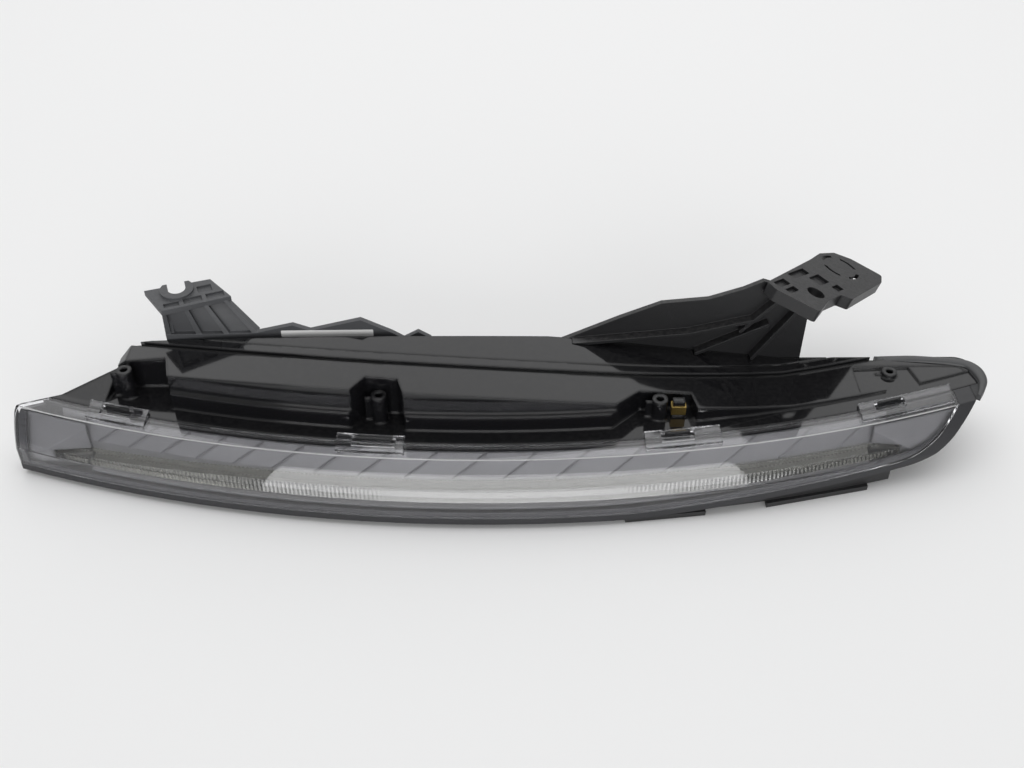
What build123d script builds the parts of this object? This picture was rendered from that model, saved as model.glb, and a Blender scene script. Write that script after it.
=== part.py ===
from build123d import *
import math
import os

os.makedirs("parts", exist_ok=True)

# Plan: every lengthwise piece follows one arc about an upright axis behind the lamp
bend_radius = 1000.0
apex_x = -15.5
front_y = -95.75
half_sweep = 25.0

# Ends and rear of the lamp in plan
left_x = -337.5
right_x = 337.5
left_end_y = -24.25
left_end_radius = 7.0
left_waist = (-269.5, 0.75)
left_rear = (-261.5, 15.75)
right_rear = (324.5, 26.75)
right_nose_y = 6.75
tip_x = 325.5
tip_y = -15.25
rear_corner_radius = 14.0
nose_radius = 9.0

# Front view: lower edge of the lens and the roof line
lens_low_z = 4.0
knee_x = 82.5
sweep_x = 292.3
sweep_z = 17.8
sweep_radius = 55.0
floor_z = 3.0
floor_end_x = 262.0
left_tip_z = 47.0
left_slope_end = (-275.5, 60.0)
shoulder = (-262.0, 69.5)
crown = (-107.5, 78.0)
slope_start = (66.5, 66.5)
slope_end = (192.5, 49.5)
right_roof_z = 48.0
rear_chamfer_z = 71.0

# Walls and clearances
lens_wall = 2.6
shell_wall = 2.5
bezel_wall = 1.8
seal_gap = 2.0
seam = 0.3
skin = 0.05

# Section of the lens: depth behind the foremost edge, height
crease = (1.0, 22.0)
ridge = (17.0, 47.0)
flange_back = 31.0
crown_bulge = 1.6
lens_path = [(0.0, 0.0), crease, ridge, (flange_back, ridge[1])]
lens_edge_radius = 1.2
rim_low = 5.0
rim_end = 8.0
border_wall = 1.2
border_inset = 2.6
border_width = 6.2

# Section of the panel
panel_front = flange_back + seam
wall_two_depth = 44.0
ledge_z = 60.0
wall_one_depth = 47.0
groove_depth = 75.0
groove_width = 4.5
groove_drop = 3.0
line_depth = 87.0
line_width = 0.8
line_drop = 1.0
end_line_inset = 10.0
end_line_x = 245.0
panel_base_z = ridge[1] - shell_wall

# Light chamber
bulkhead_wall = 2.5
guide_front = 9.8
guide_back = 19.4
guide_low = [(-312.0, 13.5), (62.5, 14.0), (266.0, 21.2)]
guide_high = [(-312.0, 19.4), (-177.5, 26.0), (266.0, 27.1)]
tooth_pitch = 2.8
tooth_depth = 1.5
bezel_depth = 20.5
bezel_bend_z = 27.0
bezel_top = (26.2, 43.4)
rib_lean = 24.0
rib_width = 1.2
rib_height = 1.3

tall = 130.0
reach = right_x - left_x
axis_y = front_y + bend_radius
bend_axis = Axis((apex_x, axis_y, 0), (0, 0, 1))


def heading(angle):
    """Unit vector from the bend axis towards the front, at an angle to the right."""
    turn = math.radians(angle)
    return Vector(math.sin(turn), -math.cos(turn), 0)


def section_plane(angle):
    """Upright plane through the bend axis: x is the radius, y is the height."""
    outward = heading(angle)
    return Plane(
        origin=(apex_x, axis_y, 0),
        x_dir=outward,
        z_dir=outward.cross(Vector(0, 0, 1)),
    )


def at(depth, height):
    """Section point from its depth behind the foremost edge and its height."""
    return (bend_radius - depth, height)


def angle_at(x, depth):
    """Angle along the bend at which a point of this depth stands at x."""
    return math.degrees(math.asin((x - apex_x) / (bend_radius - depth)))


def depth_to_y(x, depth):
    """Plan position of a depth at x."""
    radius = bend_radius - depth
    return axis_y - math.sqrt(radius**2 - (x - apex_x) ** 2)


def rear_y(x):
    """Plan position of the rear wall's outside at x."""
    slope = (right_rear[1] - left_rear[1]) / (right_rear[0] - left_rear[0])
    return left_rear[1] + slope * (x - left_rear[0])


def rear_plane(x, z):
    """Plane on the rear wall's outside that faces backwards, its x to the left."""
    along = Vector(right_rear[0] - left_rear[0], right_rear[1] - left_rear[1], 0)
    return Plane(origin=(x, rear_y(x), z), x_dir=-along, z_dir=along.cross(Vector(0, 0, -1)))


def on_bend(angle, depth):
    """Plan point at an angle along the bend and a depth."""
    point = Vector(apex_x, axis_y) + heading(angle) * (bend_radius - depth)
    return (point.X, point.Y)


def height_on(path, x):
    """Height of a front-view path at x."""
    for (start_x, start_z), (end_x, end_z) in zip(path, path[1:]):
        if x <= end_x:
            return start_z + (end_z - start_z) * (x - start_x) / (end_x - start_x)


def parallel(points, distance):
    """Points of an open path moved to its right-hand side, with mitred corners."""
    normals = []
    for start, end in zip(points, points[1:]):
        run = (Vector(*end) - Vector(*start)).normalized()
        normals.append(Vector(run.Y, -run.X))
    moved = [Vector(*points[0]) + normals[0] * distance]
    for corner, before, after in zip(points[1:-1], normals, normals[1:]):
        moved.append(Vector(*corner) + (before + after) * (distance / (1 + before.dot(after))))
    moved.append(Vector(*points[-1]) + normals[-1] * distance)
    return [(point.X, point.Y) for point in moved]


def polygon_section(points):
    """Closed section from depth and height points, at the left end of the bend."""
    with BuildSketch(section_plane(-half_sweep)) as section:
        with BuildLine():
            Polyline(*[at(*point) for point in points], close=True)
        make_face()
    return section.sketch


def lens_layer(outer, inner, edge_radius=0.0):
    """Section between two depths below the lens's outside, with a crowned face."""
    with BuildSketch(section_plane(-half_sweep)) as section:
        with BuildLine():
            sides = []
            for depth in (outer, inner):
                low, knee, top, back = parallel(lens_path, depth)
                rise = (Vector(*top) - Vector(*knee)).normalized()
                middle = (Vector(*knee) + Vector(*top)) / 2 + Vector(-rise.Y, rise.X) * crown_bulge
                Line(at(*low), at(*knee))
                ThreePointArc(at(*knee), at(middle.X, middle.Y), at(*top))
                Line(at(*top), at(*back))
                sides.append((low, back))
            Line(at(*sides[0][0]), at(*sides[1][0]))
            Line(at(*sides[0][1]), at(*sides[1][1]))
        make_face()
        if edge_radius:
            outer_corners = [section.vertices().sort_by_distance(at(*corner))[0] for corner in (crease, ridge)]
            fillet(outer_corners, edge_radius)
    return section.sketch


def lens_outline(inset=0.0, low=0.0, end=0.0):
    """Front view of the lens, less a rim: rising lower edge that sweeps up to the outer tip."""
    corner = (sweep_x - end, sweep_z + low)
    with BuildSketch(Plane.XZ) as outline:
        with BuildLine():
            Polyline(
                (left_x, lens_low_z + low),
                (knee_x, lens_low_z + low),
                corner,
                (tip_x, corner[1] + tip_x - corner[0]),
                (tip_x, tall),
                (left_x, tall),
                close=True,
            )
        make_face()
        fillet(outline.vertices().sort_by_distance(corner)[0], sweep_radius)
        if inset:
            offset(amount=-inset, kind=Kind.INTERSECTION)
    return outline.sketch


def body_outline(inset=0.0):
    """Front view of the whole lamp body, with shoulder, crowned roof and outboard slope."""
    with BuildSketch(Plane.XZ) as outline:
        add(lens_outline())
        with Locations(((left_x + right_x) / 2, left_tip_z / 2)):
            Rectangle(right_x - left_x, left_tip_z, mode=Mode.INTERSECT)
        with BuildLine():
            Polyline((left_x, left_tip_z), (left_x, floor_z), (floor_end_x, floor_z))
            Line((floor_end_x, floor_z), (floor_end_x, left_tip_z))
            Line((floor_end_x, left_tip_z), (left_x, left_tip_z))
        make_face()
        with BuildLine():
            Polyline((left_x, sweep_z), (left_x, left_tip_z), left_slope_end, shoulder)
            ThreePointArc(shoulder, crown, slope_start)
            Polyline(slope_start, slope_end, (right_x, right_roof_z), (right_x, left_tip_z - lens_wall))
            Polyline((right_x, left_tip_z - lens_wall), (tip_x, left_tip_z - lens_wall), (sweep_x, sweep_z))
            Line((sweep_x, sweep_z), (left_x, sweep_z))
        make_face()
        if inset:
            offset(amount=-inset, kind=Kind.INTERSECTION)
    return outline.sketch


def plan_outline(inset=0.0):
    """Plan of the lamp body: slanted inboard end, straight rear, rounded outboard end."""
    with BuildSketch(Plane.XY) as outline:
        with BuildLine():
            Polyline(
                (left_x, front_y - reach),
                (left_x, left_end_y),
                left_waist,
                left_rear,
                right_rear,
                (right_x, right_nose_y),
                (tip_x, tip_y),
                (tip_x, front_y - reach),
                close=True,
            )
        make_face()
        fillet(outline.vertices().sort_by_distance((left_x, left_end_y))[0], left_end_radius)
        fillet(outline.vertices().sort_by_distance(right_rear)[0], rear_corner_radius)
        fillet(outline.vertices().sort_by_distance((right_x, right_nose_y))[0], nose_radius)
        if inset:
            offset(amount=-inset, kind=Kind.INTERSECTION)
    return outline.sketch


def bent(section, front, plan=None):
    """Solid of a section bent along the lamp and trimmed by its front view and plan."""
    with BuildPart() as body:
        revolve(section, axis=bend_axis, revolution_arc=2 * half_sweep)
        extrude(front, amount=reach, both=True, mode=Mode.INTERSECT)
        if plan:
            extrude(plan, amount=reach, both=True, mode=Mode.INTERSECT)
    return body.part


def front_band(left, right, low, high):
    """Front-view rectangle."""
    with BuildSketch(Plane.XZ) as band:
        with Locations(((left + right) / 2, (low + high) / 2)):
            Rectangle(right - left, high - low)
    return band.sketch


def slab(left, right):
    """Block of all space between two places along the lamp."""
    with BuildPart() as block:
        with Locations(((left + right) / 2, 0, 0)):
            Box(right - left, 2 * reach, 2 * reach)
    return block.part


# Lens with its top flange and snap tabs
tab_front = 20.0
tab_back = 36.0
tab_rise = 2.3
window_front = 25.0
hook_wall = 1.6
hook_rise = 3.6
window_back = panel_front + hook_wall + 2 * seam
tabs = [
    ((-285.0, -243.0), (-276.0, -254.0)),
    ((-113.0, -68.0), (-103.0, -74.0)),
    ((90.0, 141.0), (101.0, 123.0)),
    ((238.0, 306.0), (249.0, 271.0)),
]


def ring_segment(front, back, low, high, left, right):
    """Block between two depths and two heights, cut off square at two places along the lamp."""
    block = [(front, low), (front, high), (back, high), (back, low)]
    return bent(polygon_section(block), front_band(left, right, low - 1, high + 1))


def framed(layer, outer, inner, plan):
    """Bent layer between two front-view outlines."""
    with BuildPart() as frame:
        add(bent(layer, outer, plan))
        extrude(inner, amount=reach, both=True, mode=Mode.SUBTRACT)
    return frame.part


tab_section = [
    (tab_front, ridge[1] - lens_wall / 2),
    (tab_front, ridge[1] + tab_rise),
    (tab_back, ridge[1] + tab_rise),
    (tab_back, ridge[1] + seam),
    (flange_back - seam, ridge[1] + seam),
    (flange_back - seam, ridge[1] - lens_wall / 2),
]

with BuildPart() as outer_lens:
    add(bent(lens_layer(0.0, lens_wall, lens_edge_radius), lens_outline(0.0, rim_low, rim_end), plan_outline()))
    for (tab_left, tab_right), (window_left, window_right) in tabs:
        add(bent(polygon_section(tab_section), front_band(tab_left, tab_right, 0, tall), plan_outline()))
        add(
            ring_segment(window_front, window_back, ridge[1] + seam, tall, window_left, window_right),
            mode=Mode.SUBTRACT,
        )
outer_lens.part.label = "outer_lens"
export_step(outer_lens.part, "parts/outer_lens.step")

# Black frame round the lens's lower and outer edge, with a band behind the lens
border_back = lens_wall + skin + border_wall
border_edge = lens_outline(border_inset)
frame_edge = lens_outline(0.0, rim_low - skin, rim_end - skin)

with BuildPart() as border_band:
    band = lens_layer(lens_wall + skin, border_back)
    add(framed(band, border_edge, lens_outline(border_inset + border_width), plan_outline(shell_wall)))
    root = lens_layer(lens_wall / 2, border_back)
    add(framed(root, border_edge, frame_edge, plan_outline(shell_wall)))
    with Locations((0, 0, ridge[1] - lens_wall - seal_gap)):
        Box(2 * reach, 2 * reach, tall, align=(Align.CENTER, Align.CENTER, Align.MIN), mode=Mode.SUBTRACT)

with BuildPart() as lens_border:
    add(framed(lens_layer(0.0, lens_wall, lens_edge_radius), lens_outline(), frame_edge, plan_outline()))
    add(border_band.part)
lens_border.part.label = "lens_border"
export_step(lens_border.part, "parts/lens_border.step")

# Seal: a closed loop between the lens's edge and the housing's rim
bead_width = 1.8
bead_front = flange_back - bulkhead_wall + skin

with BuildPart() as lens_seal:
    layer = lens_layer(lens_wall + skin, lens_wall + seal_gap - skin)
    add(framed(layer, lens_outline(seam), lens_outline(seam + bead_width), plan_outline(seam)))
    bead = [
        (bead_front, ridge[1] - lens_wall - seal_gap + skin),
        (bead_front, ridge[1] - lens_wall - skin),
        (bead_front + bead_width, ridge[1] - lens_wall - skin),
        (bead_front + bead_width, ridge[1] - lens_wall - seal_gap + skin),
    ]
    add(bent(polygon_section(bead), lens_outline(seam), plan_outline(seam)))
lens_seal.part.label = "lens_seal"
export_step(lens_seal.part, "parts/lens_seal.step")

# Gloss panel: stepped cover with pockets, screw towers, clip hooks and a groove
pocket_z = ridge[1]
pockets = [
    [(-281.5, -42.0), (-271.5, -4.5), (-234.0, -4.5), (-224.0, -42.0)],
    [(-111.5, -56.0), (-94.5, -31.0), (-73.5, -33.0), (-66.5, -56.0)],
    [(60.5, -56.0), (88.5, -29.0), (123.5, -26.0), (129.5, -56.0)],
    [(243.0, -14.0), (243.0, 13.0), (283.0, 15.0), (288.0, -6.0)],
]
tower_radius = 5.2
tower_bore_radius = 2.6
tower_bore_length = 12.0
towers = [
    ((-261.0, -13.5), 69.0),
    ((-86.0, -38.5), 68.0),
    ((101.5, -36.0), 62.5),
    ((268.0, 8.0), 50.0),
]
tower_foot_z = panel_base_z
tower_rib_wall = 1.6
tower_rib_reach = 9.5
tower_rib_drop = 2.0
clip_post = (114.5, -34.0)
clip_post_size = (8.0, 4.5)
clip_post_top_z = 60.0
slant_x = -268.0
slant_back = 62.0


def pocket_block(corners, growth, low):
    """Upright block over a pocket's plan, grown all round."""
    with BuildPart() as block:
        with BuildSketch(Plane.XY.offset(low)):
            with BuildLine():
                Polyline(*corners, close=True)
            make_face()
            if growth:
                offset(amount=growth, kind=Kind.INTERSECTION)
        extrude(amount=tall - low)
    return block.part


def groove_block(depth, width, drop, growth=0.0):
    """Ring that stands above a groove's floor, grown all round."""
    low = depth - growth
    high = depth + width + growth
    with BuildPart() as block:
        section = polygon_section([(low, 0), (low, tall), (high, tall), (high, 0)])
        revolve(section, axis=bend_axis, revolution_arc=2 * half_sweep)
        extrude(body_outline(drop + growth), amount=reach, both=True, mode=Mode.SUBTRACT)
    return block.part


def rear_wedge(wall=0.0):
    """Block above the slope along the top of the rear wall, lowered by a wall."""
    along = Vector(right_rear[0] - left_rear[0], right_rear[1] - left_rear[1], 0)
    foot = (left_x, rear_y(left_x), rear_chamfer_z - wall * math.sqrt(2))
    with BuildPart() as wedge:
        with BuildSketch(Plane(origin=foot, x_dir=(along.Y, -along.X, 0), z_dir=-along)):
            with BuildLine():
                Polyline((-shell_wall, -shell_wall), (tall, tall), (-shell_wall, tall), close=True)
            make_face()
        extrude(amount=-reach)
    return wedge.part


panel_steps = [
    (panel_front, panel_base_z),
    (panel_front, ridge[1]),
    (wall_two_depth, ridge[1]),
    (wall_two_depth, ledge_z),
    (wall_one_depth, ledge_z),
    (wall_one_depth, tall),
    (reach / 2, tall),
    (reach / 2, panel_base_z),
]
panel_hollow = [
    (wall_two_depth + shell_wall, 0),
    (wall_two_depth + shell_wall, ledge_z - shell_wall),
    (wall_one_depth + shell_wall, ledge_z - shell_wall),
    (wall_one_depth + shell_wall, tall),
    (reach / 2, tall),
    (reach / 2, 0),
]

slant = [(tab_back + 2 * seam, ridge[1]), (slant_back, left_slope_end[1])]
slant_inside = parallel(slant, shell_wall)
slant_block = [(slant[0][0], panel_base_z), *slant, (slant_back, panel_base_z)]
slant_hollow = [(slant_inside[0][0], 0), *slant_inside, (slant_inside[1][0], 0)]
above_slant = [*slant, (reach / 2, slant[1][1]), (reach / 2, tall), (slant[0][0], tall)]

with BuildPart() as slant_clearing:
    revolve(polygon_section(above_slant), axis=bend_axis, revolution_arc=2 * half_sweep)
    add(slab(left_x, slant_x), mode=Mode.INTERSECT)

with BuildPart() as slant_end:
    add(bent(polygon_section(slant_block), body_outline(), plan_outline()))
    add(slab(left_x, slant_x), mode=Mode.INTERSECT)

with BuildPart() as slant_end_inside:
    add(bent(polygon_section(slant_hollow), body_outline(shell_wall), plan_outline(shell_wall)))
    add(slab(left_x, slant_x - shell_wall), mode=Mode.INTERSECT)

with BuildPart() as panel_inside:
    add(bent(polygon_section(panel_hollow), body_outline(shell_wall), plan_outline(shell_wall)))
    add(slab(slant_x + shell_wall, reach), mode=Mode.INTERSECT)
    add(slant_end_inside.part)
    for corners in pockets:
        add(pocket_block(corners, shell_wall, 0), mode=Mode.SUBTRACT)
    add(groove_block(groove_depth, groove_width, groove_drop, shell_wall), mode=Mode.SUBTRACT)
    add(rear_wedge(shell_wall), mode=Mode.SUBTRACT)

with BuildPart() as end_line:
    extrude(plan_outline(end_line_inset), amount=tall)
    extrude(plan_outline(end_line_inset + line_width), amount=tall, mode=Mode.SUBTRACT)
    add(slab(end_line_x, reach), mode=Mode.INTERSECT)
    extrude(body_outline(line_drop), amount=reach, both=True, mode=Mode.SUBTRACT)

with BuildPart() as upper_panel:
    add(bent(polygon_section(panel_steps), body_outline(), plan_outline()))
    add(slant_clearing.part, mode=Mode.SUBTRACT)
    add(slant_end.part)
    for corners in pockets:
        add(pocket_block(corners, 0, pocket_z), mode=Mode.SUBTRACT)
    add(groove_block(groove_depth, groove_width, groove_drop), mode=Mode.SUBTRACT)
    add(groove_block(line_depth, line_width, line_drop), mode=Mode.SUBTRACT)
    add(end_line.part, mode=Mode.SUBTRACT)
    add(rear_wedge(), mode=Mode.SUBTRACT)
    add(panel_inside.part, mode=Mode.SUBTRACT)
    for (tower_x, tower_y), tower_top in towers:
        with BuildSketch(Plane.XY.offset(tower_foot_z)):
            with Locations((tower_x, tower_y)):
                Circle(tower_radius)
        extrude(amount=tower_top - tower_foot_z)
        with BuildSketch(Plane.XY.offset(tower_foot_z)):
            with Locations((tower_x, tower_y + tower_rib_reach / 2)):
                Rectangle(tower_rib_wall, tower_rib_reach)
            with Locations((tower_x - tower_rib_reach / 2, tower_y)):
                Rectangle(tower_rib_reach, tower_rib_wall)
        extrude(amount=tower_top - tower_rib_drop - tower_foot_z)
        with BuildSketch(Plane.XY.offset(tower_top)):
            with Locations((tower_x, tower_y)):
                Circle(tower_bore_radius)
        extrude(amount=-min(tower_bore_length, tower_top - tower_foot_z), mode=Mode.SUBTRACT)
    for (tab_left, tab_right), (window_left, window_right) in tabs:
        add(
            ring_segment(
                panel_front + seam,
                panel_front + seam + hook_wall,
                ridge[1] - seam,
                ridge[1] + hook_rise,
                window_left + shell_wall,
                window_right - shell_wall,
            )
        )
    with BuildSketch(Plane.XY.offset(panel_base_z)):
        with Locations(clip_post):
            Rectangle(*clip_post_size)
    extrude(amount=clip_post_top_z - panel_base_z)
upper_panel.part.label = "upper_panel"
export_step(upper_panel.part, "parts/upper_panel.step")

# Spring clip of folded strip round the panel's post
clip_strip = 0.8
clip_low_z = 49.0
clip_height = 7.0
clip_fit = 0.1

with BuildPart() as spring_clip:
    with BuildSketch(Plane.XY.offset(clip_low_z)):
        with Locations(clip_post):
            Rectangle(
                clip_post_size[0] + 2 * (clip_fit + clip_strip),
                clip_post_size[1] + 2 * (clip_fit + clip_strip),
            )
            Rectangle(
                clip_post_size[0] + 2 * clip_fit,
                clip_post_size[1] + 2 * clip_fit,
                mode=Mode.SUBTRACT,
            )
        with Locations((clip_post[0], clip_post[1] + clip_post_size[1] / 2 + clip_strip)):
            Rectangle(clip_post_size[0] / 2, 4 * clip_strip, mode=Mode.SUBTRACT)
    extrude(amount=clip_height)
spring_clip.part.label = "spring_clip"
export_step(spring_clip.part, "parts/spring_clip.step")

# Housing: tub with a bulkhead behind the light chamber
rim_depth = lens_wall + seal_gap
bulkhead_front = flange_back - bulkhead_wall
bulkhead_top_z = ridge[1] - lens_wall - seal_gap
tub_top_z = panel_base_z - seam

front_feet = [(78.0, 132.0), (174.0, 246.0)]
front_foot_depths = (1.5, 20.0)
rear_feet = [(-230.0, -150.0), (120.0, 200.0)]
rear_foot_width = 14.0
rear_foot_inset = 1.0
left_foot = (-260.0, -180.0)
left_foot_depths = (22.0, 38.0)


def foot_corners(left, right, front, back):
    """Plan corners of a foot between two depths."""
    return [
        (left, depth_to_y(left, front)),
        (right, depth_to_y(right, front)),
        (right, depth_to_y(right, back)),
        (left, depth_to_y(left, back)),
    ]


feet = [foot_corners(*foot, *front_foot_depths) for foot in front_feet]
feet.append(foot_corners(*left_foot, *left_foot_depths))
for foot_left, foot_right in rear_feet:
    feet.append(
        [
            (foot_left, rear_y(foot_left) - rear_foot_width),
            (foot_right, rear_y(foot_right) - rear_foot_width),
            (foot_right, rear_y(foot_right) - rear_foot_inset),
            (foot_left, rear_y(foot_left) - rear_foot_inset),
        ]
    )

rear_shell = [
    (rim_depth, 0.0),
    *parallel(lens_path, rim_depth)[1:],
    (flange_back, tub_top_z),
    (reach / 2, tub_top_z),
    (reach / 2, 0.0),
]
chamber_mouth = [
    (-tall, 0.0),
    (-tall, bulkhead_top_z - shell_wall),
    (bulkhead_front, bulkhead_top_z - shell_wall),
    (bulkhead_front, 0.0),
]
chamber_hollow = [
    (rim_depth + shell_wall, 0.0),
    (rim_depth + shell_wall, bulkhead_top_z + seal_gap),
    (bulkhead_front, bulkhead_top_z + seal_gap),
    (bulkhead_front, 0.0),
]
rear_hollow = [
    (flange_back, 0.0),
    (flange_back, tub_top_z + seam),
    (reach / 2, tub_top_z + seam),
    (reach / 2, 0.0),
]

# Places of the driver, connector, vent and lead holes
driver_place = (-60.0, -34.0)
driver_size = (84.0, 36.0)
driver_ear_overhang = 4.5
driver_ear_reach = (driver_size[0] / 2 + driver_ear_overhang, driver_size[1] / 3)
driver_foot_z = 9.5
floor_boss_radius = 4.0
driver_screw_radius = 1.35
driver_screw_length = 8.0
driver_ear_wall = 3.0
socket_place = (-60.0, 24.0)
socket_hole = (24.0, 16.0)
socket_corner = 3.0
vent_place = (130.0, 18.0)
vent_hole_radius = 4.0
lead_radius = 1.2
lead_z = 17.5
inboard_pass = (-297.0, lead_z)
outboard_pass = (252.0, 25.0)
grommet_radius = 3.2
rivet_radius = 2.0
rivet_z = 37.0
rivet_x = (-166.0, -122.0, 56.0, 120.0, 192.0)


def pass_plane(x, z):
    """Plane across a lead where it goes through the bulkhead, facing the rear."""
    angle = angle_at(x, flange_back)
    return Plane(origin=(*on_bend(angle, flange_back), z), z_dir=-heading(angle), x_dir=(0, 0, 1))


with BuildPart() as housing_shell:
    add(bent(polygon_section(rear_shell), body_outline(), plan_outline()))
    add(
        bent(polygon_section(chamber_mouth), lens_outline(shell_wall), plan_outline(shell_wall)),
        mode=Mode.SUBTRACT,
    )
    add(
        bent(polygon_section(chamber_hollow), body_outline(shell_wall), plan_outline(shell_wall)),
        mode=Mode.SUBTRACT,
    )
    add(
        bent(polygon_section(rear_hollow), body_outline(shell_wall), plan_outline(shell_wall)),
        mode=Mode.SUBTRACT,
    )

# Space of panel and housing, and the plane of the rear wall, that both brackets are fitted to
bracket_wall = 3.7
along_rear = Vector(right_rear[0] - left_rear[0], right_rear[1] - left_rear[1], 0)
web_plane = Plane(
    origin=(0, rear_y(0) + seam, 0),
    x_dir=along_rear,
    z_dir=along_rear.cross(Vector(0, 0, 1)),
)

with BuildPart() as lamp_space:
    whole = [(-tall, 0.0), (-tall, tall), (reach / 2, tall), (reach / 2, 0.0)]
    add(bent(polygon_section(whole), body_outline(-seam), plan_outline(-skin)))

with BuildPart() as rivet_holes:
    for x in rivet_x:
        with BuildSketch(rear_plane(x, rivet_z)):
            Circle(rivet_radius + skin)
        extrude(amount=3 * bracket_wall, both=True)


def strip_corners(start, stop, fractions, distances):
    """Plan corners of a strip between two fractions of a line and two distances behind it."""
    run = Vector(*stop) - Vector(*start)
    behind = Vector(-run.Y, run.X).normalized()
    corners = []
    for fraction, distance in zip((0, 1, 1, 0), (0, 0, 1, 1)):
        corner = Vector(*start) + run * fractions[fraction] + behind * distances[distance]
        corners.append((corner.X, corner.Y))
    return corners


# Inboard bracket: web on the rear wall, ribbed post and a slotted plate
slot_plate = [(-235.3, 11.4), (-191.2, 28.8), (-209.7, 49.3), (-252.6, 34.8)]
slot_plate_top_z = 100.0
slot_plate_wall = 4.0
slot_place = (-229.7, 34.8)
slot_width = 12.0
slot_collar_radius = 11.5
slot_collar_rise = 2.0
slot_collar_drop = 5.0
plate_pockets = [
    ((0.05, 0.27), (2.5, 7.5)),
    ((0.33, 0.60), (2.5, 9.0)),
    ((0.66, 0.92), (2.5, 9.0)),
    ((0.57, 0.78), (12.0, 20.0)),
]
plate_pocket_depth = 1.6
post_left_x = -238.0
post_right_x = -174.0
post_foot_z = 30.0
post_bend_z = 76.0
post_wall = 3.5
post_rib_height = 4.0
post_rib_share = 0.06
post_ribs = (0.0, 0.33, 0.63, 1.0 - post_rib_share)
post_top_share = 0.93
post_set_back = 0.6
gusset_shares = (0.085, 0.70)
gusset_wall = 3.0
gusset_drop = 20.0
gusset_reach = 24.0
inboard_web = [
    (-200.0, 30.0),
    (-200.0, 74.0),
    (-174.0, 77.0),
    (-149.6, 82.8),
    (-137.7, 78.0),
    (-102.3, 86.7),
    (-81.0, 75.4),
    (-73.0, 70.0),
    (-62.9, 75.8),
    (-54.0, 70.0),
    (-54.0, 54.0),
    (-84.0, 50.0),
    (-108.0, 30.0),
]

post_back = post_rib_height + post_wall
post_strips = [((0.0, 1.0), (post_rib_height, post_back))]
for share in post_ribs:
    post_strips.append(((share, share + post_rib_share), (post_set_back, post_rib_height + post_wall / 2)))
plate_run = Vector(*slot_plate[1]) - Vector(*slot_plate[0])
plate_back = Vector(*slot_plate[2]) - Vector(*slot_plate[3])
post_top_end = Vector(*slot_plate[0]) + plate_run * post_top_share
foot_line = ((post_left_x, rear_y(post_left_x)), (post_right_x, rear_y(post_right_x)))
top_line = (slot_plate[0], (post_top_end.X, post_top_end.Y))
slot_plane = Plane(origin=(*slot_place, slot_plate_top_z), x_dir=(plate_back.X, plate_back.Y, 0))

with BuildPart() as slot_post:
    for shares, distances in post_strips:
        for line, height in ((foot_line, post_bend_z), (top_line, slot_plate_top_z - slot_plate_wall / 2)):
            with BuildSketch(Plane.XY.offset(height)):
                with BuildLine():
                    Polyline(*strip_corners(*line, shares, distances), close=True)
                make_face()
        loft()

with BuildPart() as slot_collar:
    with BuildSketch(slot_plane.offset(slot_collar_rise)):
        Circle(slot_collar_radius)
    extrude(amount=-slot_collar_rise - slot_plate_wall - slot_collar_drop)
    with BuildSketch(Plane.XY):
        with BuildLine():
            Polyline(*slot_plate, close=True)
        make_face()
    extrude(amount=tall, mode=Mode.INTERSECT)

with BuildPart() as inboard_bracket:
    with BuildSketch(web_plane):
        with BuildLine():
            Polyline(*inboard_web, close=True)
        make_face()
    extrude(amount=-bracket_wall)
    with BuildSketch(Plane.XY.offset(post_foot_z)):
        with BuildLine():
            Polyline(*strip_corners(*foot_line, (0.0, 1.0), (seam, post_back)), close=True)
        make_face()
    extrude(amount=post_bend_z - post_foot_z)
    add(slot_post.part)
    with BuildSketch(Plane.XY.offset(slot_plate_top_z)):
        with BuildLine():
            Polyline(*slot_plate, close=True)
        make_face()
    extrude(amount=-slot_plate_wall)
    for shares, distances in plate_pockets:
        with BuildSketch(Plane.XY.offset(slot_plate_top_z)):
            with BuildLine():
                Polyline(*strip_corners(*slot_plate[:2], shares, distances), close=True)
            make_face()
        extrude(amount=-plate_pocket_depth, mode=Mode.SUBTRACT)
    add(slot_collar.part)
    for share in gusset_shares:
        gusset_foot = Vector(*slot_plate[0]) + plate_run * share
        gusset_plane = Plane(
            origin=(gusset_foot.X, gusset_foot.Y, slot_plate_top_z - slot_plate_wall),
            x_dir=(-plate_run.Y, plate_run.X, 0),
            z_dir=(plate_run.X, plate_run.Y, 0),
        )
        with BuildSketch(gusset_plane):
            with BuildLine():
                Polyline(
                    (post_rib_height + post_wall / 2, slot_plate_wall / 2),
                    (gusset_reach, slot_plate_wall / 2),
                    (gusset_reach, 0),
                    (post_rib_height + post_wall / 2, -gusset_drop),
                    close=True,
                )
            make_face()
        extrude(amount=gusset_wall / 2, both=True)
    with BuildSketch(slot_plane.offset(slot_collar_rise)):
        Circle(slot_width / 2)
        with Locations((0, 2 * slot_collar_radius)):
            Rectangle(slot_width, 4 * slot_collar_radius)
    extrude(amount=-slot_collar_rise - slot_plate_wall - slot_collar_drop, mode=Mode.SUBTRACT)
    add(lamp_space.part, mode=Mode.SUBTRACT)
    add(rivet_holes.part, mode=Mode.SUBTRACT)
inboard_bracket.part.label = "inboard_bracket"
export_step(inboard_bracket.part, "parts/inboard_bracket.step")

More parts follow.
